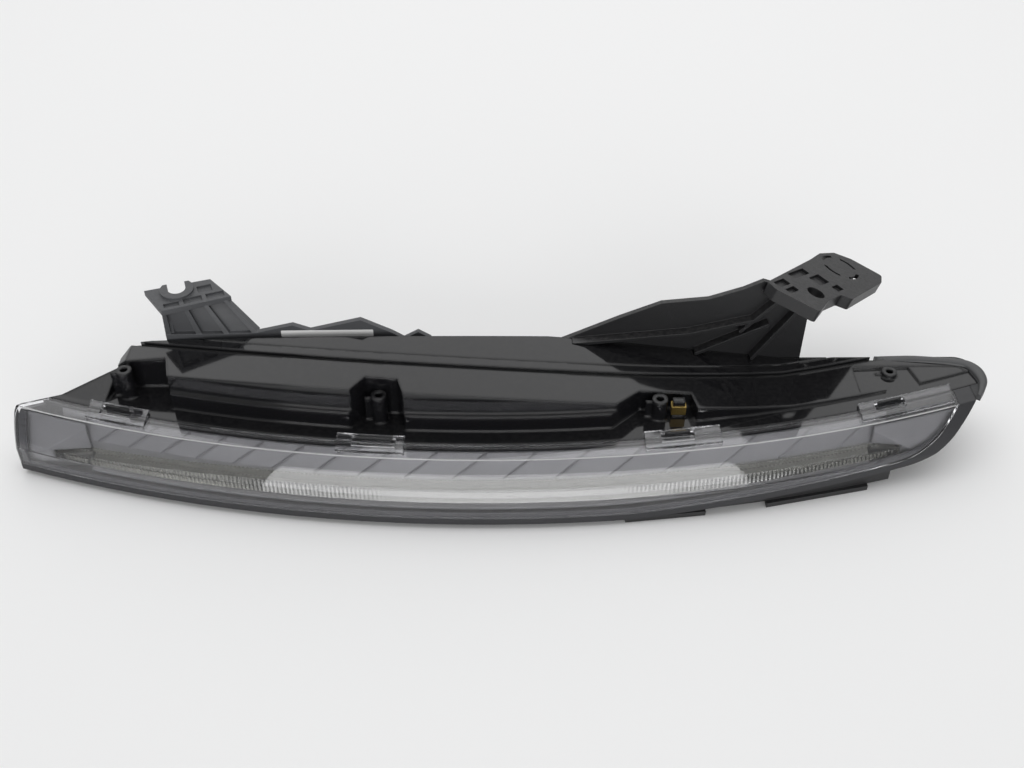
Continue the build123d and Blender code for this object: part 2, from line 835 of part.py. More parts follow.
# Outboard bracket: ribbed web on the rear wall that carries a tilted tongue
tongue_origin = (210.5, 25.75, 105.0)
tongue_side = (0.688, -0.700, -0.189)
tongue_normal = (0.325, 0.065, 0.943)
tongue_outline = [
    (-23.5, -30.0),
    (-28.7, 41.6),
    (-31.0, 60.0),
    (-27.0, 76.0),
    (-16.0, 84.5),
    (8.5, 91.0),
    (14.0, 80.0),
    (17.0, 26.0),
    (10.0, 21.0),
    (10.0, 2.0),
    (15.6, -21.0),
    (-14.5, -31.8),
]
tongue_wall = 3.5
tongue_skirt = 9.0
tongue_corner_radius = 3.0
tongue_bore_radius = 6.5
tongue_collar_radius = 10.0
knockout_place = (-12.5, 60.0)
knockout_radius = 13.5
knockout_slot = 2.6
knockout_bridge = 7.0
recess_depth = 2.2
recesses = [
    ((-18.2, -18.5), (6.5, 14.0)),
    ((-20.6, 9.5), (6.5, 22.0)),
    ((-9.0, 20.5), (10.0, 14.0)),
    ((-9.8, -18.0), (5.0, 12.0)),
    ((3.5, 27.0), (6.0, 9.0)),
]
web_outline = [
    (37.5, 29.5),
    (37.5, 67.0),
    (77.5, 86.0),
    (105.5, 98.0),
    (137.5, 101.0),
    (160.5, 109.0),
    (173.5, 115.5),
    (208.0, 103.0),
    (208.0, 29.5),
]
web_ribs = [
    ((41.0, 68.0), (126.0, 76.0)),
    ((126.0, 76.0), (170.0, 87.0)),
    ((132.0, 59.0), (179.0, 83.0)),
    ((161.0, 78.0), (188.0, 108.0)),
    ((172.0, 54.0), (202.0, 101.0)),
]
web_rib_wall = 2.4
web_rib_height = 7.0

tongue_plane = Plane(origin=tongue_origin, x_dir=tongue_side, z_dir=tongue_normal)

with BuildPart() as outboard_bracket:
    with BuildSketch(web_plane):
        with BuildLine():
            Polyline(*web_outline, close=True)
        make_face()
    extrude(amount=-bracket_wall)
    with BuildSketch(web_plane.offset(-bracket_wall / 2)):
        for rib_start, rib_end in web_ribs:
            run = Vector(*rib_end) - Vector(*rib_start)
            with Locations((Vector(*rib_start) + Vector(*rib_end)) / 2):
                SlotOverall(run.length + web_rib_wall, web_rib_wall, rotation=math.degrees(math.atan2(run.Y, run.X)))
    extrude(amount=bracket_wall / 2 + web_rib_height)
    with BuildSketch(tongue_plane) as tongue_face:
        with BuildLine():
            Polyline(*tongue_outline, close=True)
        make_face()
        fillet(tongue_face.vertices(), tongue_corner_radius)
    extrude(amount=-tongue_skirt)
    with BuildSketch(tongue_plane.offset(-tongue_wall)):
        add(tongue_face.sketch_local)
        offset(amount=-shell_wall, kind=Kind.INTERSECTION)
    extrude(amount=tongue_wall - tongue_skirt, mode=Mode.SUBTRACT)
    with BuildSketch(tongue_plane):
        Circle(tongue_collar_radius)
    extrude(amount=-tongue_skirt)
    with BuildSketch(tongue_plane):
        for recess_place, recess_size in recesses:
            with Locations(recess_place):
                Rectangle(*recess_size)
    extrude(amount=-recess_depth, mode=Mode.SUBTRACT)
    with BuildSketch(tongue_plane):
        Circle(tongue_bore_radius)
    extrude(amount=-tongue_skirt, mode=Mode.SUBTRACT)
    with BuildSketch(tongue_plane):
        with Locations(knockout_place):
            Circle(knockout_radius + knockout_slot / 2)
            Circle(knockout_radius - knockout_slot / 2, mode=Mode.SUBTRACT)
            for turn in (45, 135):
                Rectangle(3 * knockout_radius, knockout_bridge, rotation=turn, mode=Mode.SUBTRACT)
    extrude(amount=-tongue_skirt, mode=Mode.SUBTRACT)
    add(lamp_space.part, mode=Mode.SUBTRACT)
    add(rivet_holes.part, mode=Mode.SUBTRACT)
outboard_bracket.part.label = "outboard_bracket"
export_step(outboard_bracket.part, "parts/outboard_bracket.step")

# Rivets that hold both brackets on the rear wall
rivet_head_radius = 3.8
rivet_head_wall = 1.5
rivet_inside = shell_wall + skin
rivet_outside = seam + bracket_wall + skin

with BuildPart() as bracket_rivets:
    for x in rivet_x:
        with BuildSketch(rear_plane(x, rivet_z).offset(-rivet_inside - rivet_head_wall)):
            Circle(rivet_head_radius)
        extrude(amount=rivet_head_wall)
        with BuildSketch(rear_plane(x, rivet_z).offset(-rivet_inside)):
            Circle(rivet_radius)
        extrude(amount=rivet_inside + rivet_outside)
        with BuildSketch(rear_plane(x, rivet_z).offset(rivet_outside)):
            Circle(rivet_head_radius)
        extrude(amount=rivet_head_wall)
bracket_rivets.part.label = "bracket_rivets"
export_step(bracket_rivets.part, "parts/bracket_rivets.step")

with BuildPart() as housing:
    add(housing_shell.part)
    for corners in feet:
        with BuildSketch(Plane.XY):
            with BuildLine():
                Polyline(*corners, close=True)
            make_face()
        extrude(amount=lens_low_z - seam)
    with BuildSketch(Plane.XY.offset(floor_z + shell_wall / 2)):
        with Locations(driver_place):
            with GridLocations(2 * driver_ear_reach[0], 2 * driver_ear_reach[1], 2, 2):
                Circle(floor_boss_radius)
    extrude(amount=driver_foot_z - skin - floor_z - shell_wall / 2)
    with BuildSketch(Plane.XY.offset(driver_foot_z)):
        with Locations(driver_place):
            with GridLocations(2 * driver_ear_reach[0], 2 * driver_ear_reach[1], 2, 2):
                Circle(driver_screw_radius + skin)
    extrude(amount=-(driver_screw_length - driver_ear_wall + seam), mode=Mode.SUBTRACT)
    with BuildSketch(rear_plane(*socket_place)):
        RectangleRounded(*socket_hole, socket_corner)
    extrude(amount=2 * shell_wall, both=True, mode=Mode.SUBTRACT)
    with BuildSketch(rear_plane(*vent_place)):
        Circle(vent_hole_radius)
    extrude(amount=2 * shell_wall, both=True, mode=Mode.SUBTRACT)
    for pass_place in (inboard_pass, outboard_pass):
        with BuildSketch(pass_plane(*pass_place)):
            Circle(grommet_radius)
        extrude(amount=2 * bulkhead_wall, both=True, mode=Mode.SUBTRACT)
    add(rivet_holes.part, mode=Mode.SUBTRACT)
housing.part.label = "housing"
export_step(housing.part, "parts/housing.step")

# Light guide: bar with a saw-toothed back, tapered towards both ends
guide_start = angle_at(guide_low[0][0], guide_front)
guide_stop = angle_at(guide_low[-1][0], guide_front)
tooth_count = round(math.radians(guide_stop - guide_start) * (bend_radius - guide_back) / tooth_pitch)
tooth_step = (guide_stop - guide_start) / tooth_count
guide_teeth = []
for tooth in range(tooth_count):
    guide_teeth.append(on_bend(guide_stop - tooth * tooth_step, guide_back - tooth_depth))
    guide_teeth.append(on_bend(guide_stop - (tooth + 0.5) * tooth_step, guide_back))
guide_teeth.append(on_bend(guide_start, guide_back - tooth_depth))

with BuildPart() as light_guide:
    with BuildSketch(Plane.XY):
        with BuildLine():
            ThreePointArc(
                on_bend(guide_start, guide_front),
                on_bend((guide_start + guide_stop) / 2, guide_front),
                on_bend(guide_stop, guide_front),
            )
            Polyline(on_bend(guide_stop, guide_front), *guide_teeth, on_bend(guide_start, guide_front))
        make_face()
    extrude(amount=ridge[1])
    with BuildSketch(Plane.XZ):
        with BuildLine():
            Polyline(*guide_low, *reversed(guide_high), close=True)
        make_face()
    extrude(amount=reach, both=True, mode=Mode.INTERSECT)
light_guide.part.label = "light_guide"
export_step(light_guide.part, "parts/light_guide.step")

# Reflector: upright and leaning back wall with slanted ribs, and a floor under the guide
reflector_left_x = -305.0
reflector_right_x = 257.0
bezel_floor_front = 7.6
bezel_floor_x = (-284.0, 245.0)
rib_first_x = -282.0
rib_first_pitch = 22.0
rib_pitch_growth = 1.25
rib_count = 17
rib_root = 0.5

bezel_path = [(bezel_depth, floor_z + shell_wall + seam), (bezel_depth, bezel_bend_z), bezel_top]
bezel_floor_block = [
    (bezel_floor_front, 0),
    (bezel_floor_front, ridge[1]),
    (bezel_depth + bezel_wall, ridge[1]),
    (bezel_depth + bezel_wall, 0),
]
bezel_floor_edge = [(x, height_on(guide_low, x) - seam) for x in (bezel_floor_x[0], guide_low[1][0], bezel_floor_x[1])]
rib_layer = parallel(bezel_path[1:], -rib_height) + list(reversed(parallel(bezel_path[1:], rib_root)))

with BuildSketch(Plane.XZ) as bezel_floor_band:
    with BuildLine():
        Polyline(
            *bezel_floor_edge,
            *[(x, z - bezel_wall) for x, z in reversed(bezel_floor_edge)],
            close=True,
        )
    make_face()

with BuildSketch(Plane.XZ) as rib_bands:
    for rib in range(rib_count):
        foot_x = rib_first_x + rib * rib_first_pitch + rib_pitch_growth * rib * (rib - 1) / 2
        with BuildLine():
            Polyline(
                (foot_x, bezel_bend_z - rib_height),
                (foot_x + rib_width, bezel_bend_z - rib_height),
                (foot_x + rib_width + rib_lean, bezel_top[1]),
                (foot_x + rib_lean, bezel_top[1]),
                close=True,
            )
        make_face()

with BuildPart() as reflector:
    wall = bezel_path + list(reversed(parallel(bezel_path, bezel_wall)))
    add(bent(polygon_section(wall), body_outline(shell_wall + seam), plan_outline(shell_wall + seam)))
    add(slab(reflector_left_x, reflector_right_x), mode=Mode.INTERSECT)
    add(bent(polygon_section(bezel_floor_block), bezel_floor_band.sketch))
    add(bent(polygon_section(rib_layer), rib_bands.sketch))
reflector.part.label = "reflector"
export_step(reflector.part, "parts/reflector.step")

# End units: a cover that hides a board with one LED, its heat sink and screws
cover_set_back = rim_depth + 1.0
cover_back = bezel_depth - seam
cover_facet_front = 5.0
cover_facet_drop = 40.0
unit_depth = 16.5
board_wall = 1.6
board_depths = (-2.0, 3.0)
pocket_depths = (-2.5, 4.5)
led_size = 3.0
led_wall = 0.8
led_gap = 0.3
sink_base = 2.5
fin_wall = 1.2
board_screw_depth = 0.8
board_screw_radius = 1.0
board_screw_length = 8.5
board_screw_head = (1.9, 1.4)
end_units = {
    "inboard": {
        "side": -1,
        "cover_x": (-331.8, -286.0),
        "facet_x": -322.0,
        "end_x": guide_low[0][0],
        "led_z": (guide_low[0][1] + guide_high[0][1]) / 2,
        "board_z": (9.2, 24.4),
        "pocket_z": (8.6, 25.2),
        "pocket_length": 17.5,
        "fin_length": 10.0,
        "fins_z": (14.0, 16.2, 18.4),
        "screws_z": (11.4, 22.2),
    },
    "outboard": {
        "side": 1,
        "cover_x": (247.0, 318.0),
        "facet_x": 284.0,
        "end_x": guide_low[-1][0],
        "led_z": (guide_low[-1][1] + guide_high[-1][1]) / 2,
        "board_z": (22.0, 30.4),
        "pocket_z": (21.4, 31.0),
        "pocket_length": 13.0,
        "fin_length": 5.5,
        "fins_z": (22.0, 24.2),
        "screws_z": (28.7,),
    },
}
cover_path = parallel(lens_path, cover_set_back)
cover_section = [
    (cover_path[0][0], floor_z + shell_wall + seam),
    cover_path[1],
    cover_path[2],
    (cover_back, cover_path[2][1]),
    (cover_back, floor_z + shell_wall + seam),
]


def unit_block(unit, along, depths, heights):
    """Block in an end unit: distances outwards from the guide's end, depths and heights."""
    angle = angle_at(unit["end_x"], unit_depth)
    plane = Plane(origin=(*on_bend(angle, unit_depth), 0), x_dir=heading(angle + 90), z_dir=(0, 0, 1))
    with BuildPart() as block:
        with BuildSketch(plane.offset(heights[0])):
            with Locations((unit["side"] * (along[0] + along[1]) / 2, (depths[0] + depths[1]) / 2)):
                Rectangle(along[1] - along[0], depths[1] - depths[0])
        extrude(amount=heights[1] - heights[0])
    return block.part


def unit_screws(unit, radius, start, stop):
    """Rods at an end unit's screws, between two distances outwards from the guide's end."""
    angle = angle_at(unit["end_x"], unit_depth)
    outward = heading(angle + 90) * unit["side"]
    with BuildPart() as rods:
        for screw_z in unit["screws_z"]:
            middle = Vector(*on_bend(angle, unit_depth), screw_z) - heading(angle) * board_screw_depth
            with BuildSketch(Plane(origin=middle + outward * start, z_dir=outward)):
                Circle(radius)
            extrude(amount=stop - start)
    return rods.part


board_start = led_gap + led_wall + skin
sink_start = board_start + board_wall + skin
screw_seat = sink_start + sink_base + skin

with BuildPart() as board_screws:
    for unit in end_units.values():
        add(unit_screws(unit, board_screw_radius, screw_seat - board_screw_length, screw_seat))
        add(unit_screws(unit, board_screw_head[0], screw_seat, screw_seat + board_screw_head[1]))
board_screws.part.label = "board_screws"
export_step(board_screws.part, "parts/board_screws.step")

for name, unit in end_units.items():
    led_heights = (unit["led_z"] - led_size / 2, unit["led_z"] + led_size / 2)

    with BuildPart() as led:
        add(unit_block(unit, (led_gap, led_gap + led_wall), (-led_size / 2, led_size / 2), led_heights))
    led.part.label = name + "_led"
    export_step(led.part, "parts/" + name + "_led.step")

    with BuildPart() as led_board:
        add(unit_block(unit, (board_start, board_start + board_wall), board_depths, unit["board_z"]))
        add(unit_screws(unit, board_screw_radius + skin, 0, sink_start), mode=Mode.SUBTRACT)
    led_board.part.label = name + "_led_board"
    export_step(led_board.part, "parts/" + name + "_led_board.step")

    with BuildPart() as heat_sink:
        add(unit_block(unit, (sink_start, sink_start + sink_base), board_depths, unit["board_z"]))
        for fin_z in unit["fins_z"]:
            fin_end = sink_start + sink_base + unit["fin_length"]
            add(unit_block(unit, (sink_start, fin_end), board_depths, (fin_z, fin_z + fin_wall)))
        add(unit_screws(unit, board_screw_radius + skin, 0, screw_seat), mode=Mode.SUBTRACT)
    heat_sink.part.label = name + "_heat_sink"
    export_step(heat_sink.part, "parts/" + name + "_heat_sink.step")

    with BuildPart() as end_cover:
        inner_x = unit["cover_x"][0] if unit["side"] > 0 else unit["cover_x"][1]
        facet_y = depth_to_y(unit["facet_x"], cover_facet_front)
        inner_y = depth_to_y(inner_x, cover_back)
        add(bent(polygon_section(cover_section), lens_outline(shell_wall + seam), plan_outline(shell_wall + seam)))
        add(slab(*unit["cover_x"]), mode=Mode.INTERSECT)
        with BuildSketch(Plane.XY):
            with BuildLine():
                Polyline(
                    (unit["facet_x"], facet_y),
                    (inner_x, inner_y - bezel_wall),
                    (inner_x - unit["side"] * bezel_wall, inner_y - cover_facet_drop),
                    (unit["facet_x"], facet_y - cover_facet_drop),
                    close=True,
                )
            make_face()
        extrude(amount=tall, mode=Mode.SUBTRACT)
        add(
            unit_block(unit, (-seam, unit["pocket_length"]), pocket_depths, unit["pocket_z"]),
            mode=Mode.SUBTRACT,
        )
        add(
            unit_screws(unit, board_screw_radius + skin, screw_seat - board_screw_length - seam, 0),
            mode=Mode.SUBTRACT,
        )
        guide_ends = (inner_x, unit["end_x"])
        add(
            unit_block(
                unit,
                (-tall, 0),
                (guide_front - unit_depth - 2 * seam, cover_back - unit_depth + seam),
                (
                    min(height_on(guide_low, x) for x in guide_ends) - seam,
                    max(height_on(guide_high, x) for x in guide_ends) + seam,
                ),
            ),
            mode=Mode.SUBTRACT,
        )
    end_cover.part.label = name + "_end_cover"
    export_step(end_cover.part, "parts/" + name + "_end_cover.step")

# Driver: open case on four floor bosses, its board, a finned lid and four screws
driver_wall = 2.0
driver_rim_z = 21.5
driver_board_z = 14.0
driver_board_wall = 1.6
driver_board_fit = 0.3
driver_post_radius = 2.5
driver_ear_radius = 4.5
driver_screw_head = (2.9, 2.2)
driver_lid_wall = 2.0
driver_lip = 1.0
driver_fin_count = 9
driver_fin_pitch = 9.0
driver_fin_size = (1.6, 30.0)
driver_fin_height = 4.0
feed_radius = 2.0
feed_z = 18.4
driver_inside = (driver_size[0] - 2 * driver_wall, driver_size[1] - 2 * driver_wall)
driver_board_size = (driver_inside[0] - 2 * driver_board_fit, driver_inside[1] - 2 * driver_board_fit)
driver_post_reach = (driver_inside[0] / 2 - driver_post_radius, driver_inside[1] / 2 - driver_post_radius)

with BuildPart() as driver_case:
    with BuildSketch(Plane.XY.offset(driver_foot_z)):
        with Locations(driver_place):
            Rectangle(*driver_size)
    extrude(amount=driver_rim_z - driver_foot_z)
    with BuildSketch(Plane.XY.offset(driver_foot_z + driver_wall)):
        with Locations(driver_place):
            Rectangle(*driver_inside)
    extrude(amount=driver_rim_z, mode=Mode.SUBTRACT)
    with BuildSketch(Plane.XY.offset(driver_foot_z + driver_wall)):
        with Locations(driver_place):
            with GridLocations(2 * driver_post_reach[0], 2 * driver_post_reach[1], 2, 2):
                Circle(driver_post_radius)
    extrude(amount=driver_board_z - skin - driver_foot_z - driver_wall)
    with BuildSketch(Plane.XY.offset(driver_foot_z)):
        with Locations(driver_place):
            for side in (-1, 1):
                with Locations((0, side * driver_ear_reach[1])):
                    SlotOverall(2 * (driver_ear_reach[0] + driver_ear_radius), 2 * driver_ear_radius)
    extrude(amount=driver_ear_wall)
    with BuildSketch(Plane.XY.offset(driver_foot_z)):
        with Locations(driver_place):
            with GridLocations(2 * driver_ear_reach[0], 2 * driver_ear_reach[1], 2, 2):
                Circle(driver_screw_radius + skin)
    extrude(amount=driver_ear_wall, mode=Mode.SUBTRACT)
    with BuildSketch(Plane((*driver_place, lead_z), x_dir=(0, 1, 0), z_dir=(1, 0, 0))):
        Circle(lead_radius + skin)
    extrude(amount=driver_size[0], both=True, mode=Mode.SUBTRACT)
    with BuildSketch(Plane((*driver_place, feed_z), x_dir=(-1, 0, 0), z_dir=(0, 1, 0))):
        Circle(feed_radius + skin)
    extrude(amount=driver_size[1], mode=Mode.SUBTRACT)
driver_case.part.label = "driver_case"
export_step(driver_case.part, "parts/driver_case.step")

with BuildPart() as driver_board:
    with BuildSketch(Plane.XY.offset(driver_board_z)):
        with Locations(driver_place):
            Rectangle(*driver_board_size)
    extrude(amount=driver_board_wall)
driver_board.part.label = "driver_board"
export_step(driver_board.part, "parts/driver_board.step")

with BuildPart() as driver_cover:
    with BuildSketch(Plane.XY.offset(driver_rim_z + skin)):
        with Locations(driver_place):
            Rectangle(*driver_size)
    extrude(amount=driver_lid_wall)
    with BuildSketch(Plane.XY.offset(driver_rim_z + skin)):
        with Locations(driver_place):
            Rectangle(*driver_board_size)
            offset(amount=-driver_wall, kind=Kind.INTERSECTION, mode=Mode.SUBTRACT)
    extrude(amount=-driver_lip)
    with BuildSketch(Plane.XY.offset(driver_rim_z + skin + driver_lid_wall)):
        with Locations(driver_place):
            with GridLocations(driver_fin_pitch, 0, driver_fin_count, 1):
                Rectangle(*driver_fin_size)
    extrude(amount=driver_fin_height)
driver_cover.part.label = "driver_cover"
export_step(driver_cover.part, "parts/driver_cover.step")

with BuildPart() as driver_screws:
    driver_screw_seat = driver_foot_z + driver_ear_wall + skin
    with BuildSketch(Plane.XY.offset(driver_screw_seat)):
        with Locations(driver_place):
            with GridLocations(2 * driver_ear_reach[0], 2 * driver_ear_reach[1], 2, 2):
                Circle(driver_screw_head[0])
    extrude(amount=driver_screw_head[1])
    with BuildSketch(Plane.XY.offset(driver_screw_seat)):
        with Locations(driver_place):
            with GridLocations(2 * driver_ear_reach[0], 2 * driver_ear_reach[1], 2, 2):
                Circle(driver_screw_radius)
    extrude(amount=-driver_screw_length)
driver_screws.part.label = "driver_screws"
export_step(driver_screws.part, "parts/driver_screws.step")

# Connector: socket through the rear wall, its gasket and four blades
socket_fit = 0.2
socket_flange = (33.0, 25.0)
socket_flange_wall = 2.5
socket_inside = 8.0
socket_reach = 22.0
socket_wall = 2.0
socket_floor = 5.0
gasket_wall = 1.0
blade_count = 4
blade_pitch = 4.2
blade_size = (1.2, 2.4)
blade_start = -9.5
blade_stop = 17.0
socket_body = (socket_hole[0] - 2 * socket_fit, socket_hole[1] - 2 * socket_fit)
socket_mouth = (socket_body[0] - 2 * socket_wall, socket_body[1] - 2 * socket_wall)
flange_start = gasket_wall + 2 * skin
socket_face = rear_plane(*socket_place)

with BuildPart() as socket_gasket:
    with BuildSketch(socket_face.offset(skin)):
        RectangleRounded(*socket_flange, socket_corner)
        RectangleRounded(*socket_hole, socket_corner, mode=Mode.SUBTRACT)
    extrude(amount=gasket_wall)
socket_gasket.part.label = "socket_gasket"
export_step(socket_gasket.part, "parts/socket_gasket.step")

with BuildPart() as connector_socket:
    with BuildSketch(socket_face.offset(-socket_inside)):
        RectangleRounded(*socket_body, socket_corner)
    extrude(amount=socket_inside + socket_reach)
    with BuildSketch(socket_face.offset(flange_start)):
        RectangleRounded(*socket_flange, socket_corner)
    extrude(amount=socket_flange_wall)
    with BuildSketch(socket_face.offset(socket_floor)):
        RectangleRounded(*socket_mouth, socket_corner - socket_wall / 2)
    extrude(amount=socket_reach, mode=Mode.SUBTRACT)
    with BuildSketch(socket_face.offset(-socket_inside)):
        with GridLocations(blade_pitch, 0, blade_count, 1):
            Rectangle(blade_size[0] + 2 * skin, blade_size[1] + 2 * skin)
    extrude(amount=socket_inside + socket_floor, mode=Mode.SUBTRACT)
connector_socket.part.label = "connector_socket"
export_step(connector_socket.part, "parts/connector_socket.step")

with BuildPart() as connector_pins:
    with BuildSketch(socket_face.offset(blade_start)):
        with GridLocations(blade_pitch, 0, blade_count, 1):
            Rectangle(*blade_size)
    extrude(amount=blade_stop - blade_start)
connector_pins.part.label = "connector_pins"
export_step(connector_pins.part, "parts/connector_pins.step")

# Vent cap pushed into the rear wall
vent_fit = 0.1
vent_stem_length = 6.0
vent_cap_radius = 8.0
vent_cap_height = 5.0
vent_edge = 1.5

with BuildPart() as vent_cap:
    with BuildSketch(rear_plane(*vent_place).offset(skin)):
        Circle(vent_cap_radius)
    extrude(amount=vent_cap_height)
    fillet(vent_cap.faces().sort_by(Axis.Y)[-1].edges(), vent_edge)
    with BuildSketch(rear_plane(*vent_place).offset(skin)):
        Circle(vent_hole_radius - vent_fit)
    extrude(amount=-vent_stem_length)
vent_cap.part.label = "vent_cap"
export_step(vent_cap.part, "parts/vent_cap.step")

# Leads from the driver to the connector and through the bulkhead to both boards
lead_bend = 2.8
lead_gap_depth = 24.2
lead_inset = 3.0
inboard_knees_x = (-125.0, -230.0)
inboard_knee_depth = 46.0
inboard_pass_depth = 38.0
outboard_knees_x = (10.0, 130.0, 200.0)
outboard_knee_depths = (48.0, 44.0)
outboard_pass_depth = 40.0
grommet_lip = 1.4
grommet_lip_wall = 1.2


def lead_end(unit, height):
    """Last lead points: along the gap behind the cover and forward to the board's edge."""
    angle = angle_at(unit["end_x"] + unit["side"] * (board_start + board_wall / 2), unit_depth)
    return [
        (*on_bend(angle, lead_gap_depth), height),
        (*on_bend(angle, unit_depth + board_depths[1] + 2 * skin), height),
    ]


def lead_pass(place, depth):
    """Lead point in line with a hole of the bulkhead."""
    return (*on_bend(angle_at(place[0], flange_back), depth), place[1])


lead_runs = {
    "inboard": [
        (driver_place[0] - driver_size[0] / 2 + lead_inset, driver_place[1], lead_z),
        (inboard_knees_x[0], driver_place[1], lead_z),
        (inboard_knees_x[1], depth_to_y(inboard_knees_x[1], inboard_knee_depth), lead_z),
        lead_pass(inboard_pass, inboard_pass_depth),
        lead_pass(inboard_pass, lead_gap_depth),
        *lead_end(end_units["inboard"], lead_z),
    ],
    "outboard": [
        (driver_place[0] + driver_size[0] / 2 - lead_inset, driver_place[1], lead_z),
        (outboard_knees_x[0], driver_place[1], lead_z),
        (outboard_knees_x[1], depth_to_y(outboard_knees_x[1], outboard_knee_depths[0]), lead_z),
        (outboard_knees_x[2], depth_to_y(outboard_knees_x[2], outboard_knee_depths[1]), outboard_pass[1]),
        lead_pass(outboard_pass, outboard_pass_depth),
        lead_pass(outboard_pass, lead_gap_depth),
        *lead_end(end_units["outboard"], outboard_pass[1]),
    ],
}
for name, points in lead_runs.items():
    with BuildPart() as lead:
        with BuildLine() as run:
            FilletPolyline(*points, radius=lead_bend)
        with BuildSketch(Plane(origin=run.line @ 0, z_dir=run.line % 0)):
            Circle(lead_radius)
        sweep()
    lead.part.label = name + "_lead"
    export_step(lead.part, "parts/" + name + "_lead.step")

with BuildPart() as feed_lead:
    feed_start = driver_place[1] + driver_size[1] / 2 - lead_inset
    with BuildSketch(Plane((driver_place[0], feed_start, feed_z), x_dir=(-1, 0, 0), z_dir=(0, 1, 0))):
        Circle(feed_radius)
    extrude(amount=rear_y(driver_place[0]) - socket_inside - seam - feed_start)
feed_lead.part.label = "feed_lead"
export_step(feed_lead.part, "parts/feed_lead.step")

with BuildPart() as lead_grommets:
    for pass_place in (inboard_pass, outboard_pass):
        with BuildSketch(pass_plane(*pass_place).offset(skin)):
            Circle(grommet_radius + grommet_lip)
        extrude(amount=grommet_lip_wall)
        with BuildSketch(pass_plane(*pass_place).offset(-bulkhead_wall - skin)):
            Circle(grommet_radius + grommet_lip)
        extrude(amount=-grommet_lip_wall)
        with BuildSketch(pass_plane(*pass_place)):
            Circle(grommet_radius - skin)
        extrude(amount=-bulkhead_wall - skin)
        with BuildSketch(pass_plane(*pass_place)):
            Circle(grommet_radius - skin)
        extrude(amount=skin)
        with BuildSketch(pass_plane(*pass_place)):
            Circle(lead_radius + skin)
        extrude(amount=3 * bulkhead_wall, both=True, mode=Mode.SUBTRACT)
lead_grommets.part.label = "lead_grommets"
export_step(lead_grommets.part, "parts/lead_grommets.step")
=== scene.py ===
import math

import bmesh
import bpy
from bpy.props import FloatProperty, FloatVectorProperty, PointerProperty
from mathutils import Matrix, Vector


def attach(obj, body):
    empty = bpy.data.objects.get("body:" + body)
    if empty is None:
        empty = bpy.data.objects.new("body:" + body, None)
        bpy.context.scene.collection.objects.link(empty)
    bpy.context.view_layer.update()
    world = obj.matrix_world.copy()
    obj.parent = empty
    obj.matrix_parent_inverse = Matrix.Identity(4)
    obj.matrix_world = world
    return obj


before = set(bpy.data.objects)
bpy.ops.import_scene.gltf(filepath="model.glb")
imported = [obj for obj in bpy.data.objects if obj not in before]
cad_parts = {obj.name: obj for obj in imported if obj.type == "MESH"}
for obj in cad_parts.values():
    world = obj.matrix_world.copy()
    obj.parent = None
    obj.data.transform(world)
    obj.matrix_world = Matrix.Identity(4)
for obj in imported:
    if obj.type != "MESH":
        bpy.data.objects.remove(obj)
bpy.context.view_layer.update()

bl_info = {
    "name": "Daytime running light",
    "version": (1, 0, 0),
    "blender": (4, 5, 0),
    "location": "View3D > Sidebar > Lamp",
    "description": "Dresses the packed lamp with its finishes, small pieces and a plain stage",
    "category": "Object",
}

# Sockets that share a name with others of their node: floats of Mix, shaders of Mix Shader
FLOAT_A, FLOAT_B = 2, 3
SHADER_A, SHADER_B = 1, 2

FLOOR_HALF = 3.0
FLOOR_CELLS = 8
FLOOR_ROUGHNESS = 0.6
FLOOR_SPECULAR = 0.2
SENSOR_WIDTH_MM = 36.0
CLIP_START = 0.01

GRAIN_DEPTH = 0.0002
DUST_ROUGHNESS = 0.8
# Painted edge highlight: gain and lift of the lighter tint along moulded edges
EDGE_HIGHLIGHT_GAIN = 2.2
EDGE_HIGHLIGHT_LIFT = 0.01

# Slope in plan of the inboard bracket's web, which carries the sticker
WEB_SLOPE = 0.01877
LABEL_CORNER_STEPS = 4

# Bend of the lamp in plan: radius, foremost line and middle
BEND_RADIUS = 1.0
BEND_FRONT = -0.09575
BEND_MIDDLE = (-0.0155, BEND_FRONT + BEND_RADIUS)
RIDGE_ENDS = (-0.331, 0.306)
RIDGE_STEPS = 96
RIDGE_SIDES = 8

# Outer edge of the rim from the rear to the lens's corner: x, y, width, share of the height,
# and width of the ledge inside it
RIM_STATIONS = (
    (0.2620, 0.0272, 0.0060, 0.05, 0.0003),
    (0.2840, 0.0270, 0.0064, 0.85, 0.0003),
    (0.3000, 0.0256, 0.0064, 1.00, 0.0003),
    (0.3140, 0.0238, 0.0064, 1.00, 0.0003),
    (0.3262, 0.0214, 0.0074, 1.00, 0.0003),
    (0.3326, 0.0160, 0.0084, 1.00, 0.0003),
    (0.3351, 0.0085, 0.0084, 1.00, 0.0015),
    (0.3344, -0.0010, 0.0066, 0.90, 0.0045),
    (0.3306, -0.0090, 0.0046, 0.60, 0.0055),
    (0.3254, -0.0168, 0.0026, 0.20, 0.0020),
)
RIM_STEPS = 6
# Section of the rim: share of the width from its outer edge, and share of its height
RIM_SECTION = (
    (0.0, 0.0),
    (0.03, 0.45),
    (0.15, 0.8),
    (0.4, 1.0),
    (0.7, 0.95),
    (0.92, 0.65),
    (1.0, 0.0),
)


def colour(name, description, default):
    """Colour setting of the add-on."""
    return FloatVectorProperty(
        name=name,
        description=description,
        subtype="COLOR",
        size=4,
        min=0.0,
        max=1.0,
        default=(*default, 1.0),
    )


def share(name, description, default):
    """Setting between 0 and 1."""
    return FloatProperty(
        name=name,
        description=description,
        subtype="FACTOR",
        min=0.0,
        max=1.0,
        default=default,
    )


def length(name, description, default):
    """Length setting, in metres."""
    return FloatProperty(
        name=name,
        description=description,
        subtype="DISTANCE",
        unit="LENGTH",
        min=0.0,
        default=default,
        precision=5,
    )


def place(name, description, default):
    """Place setting, in metres."""
    return FloatVectorProperty(
        name=name,
        description=description,
        subtype="XYZ",
        unit="LENGTH",
        size=3,
        default=default,
    )


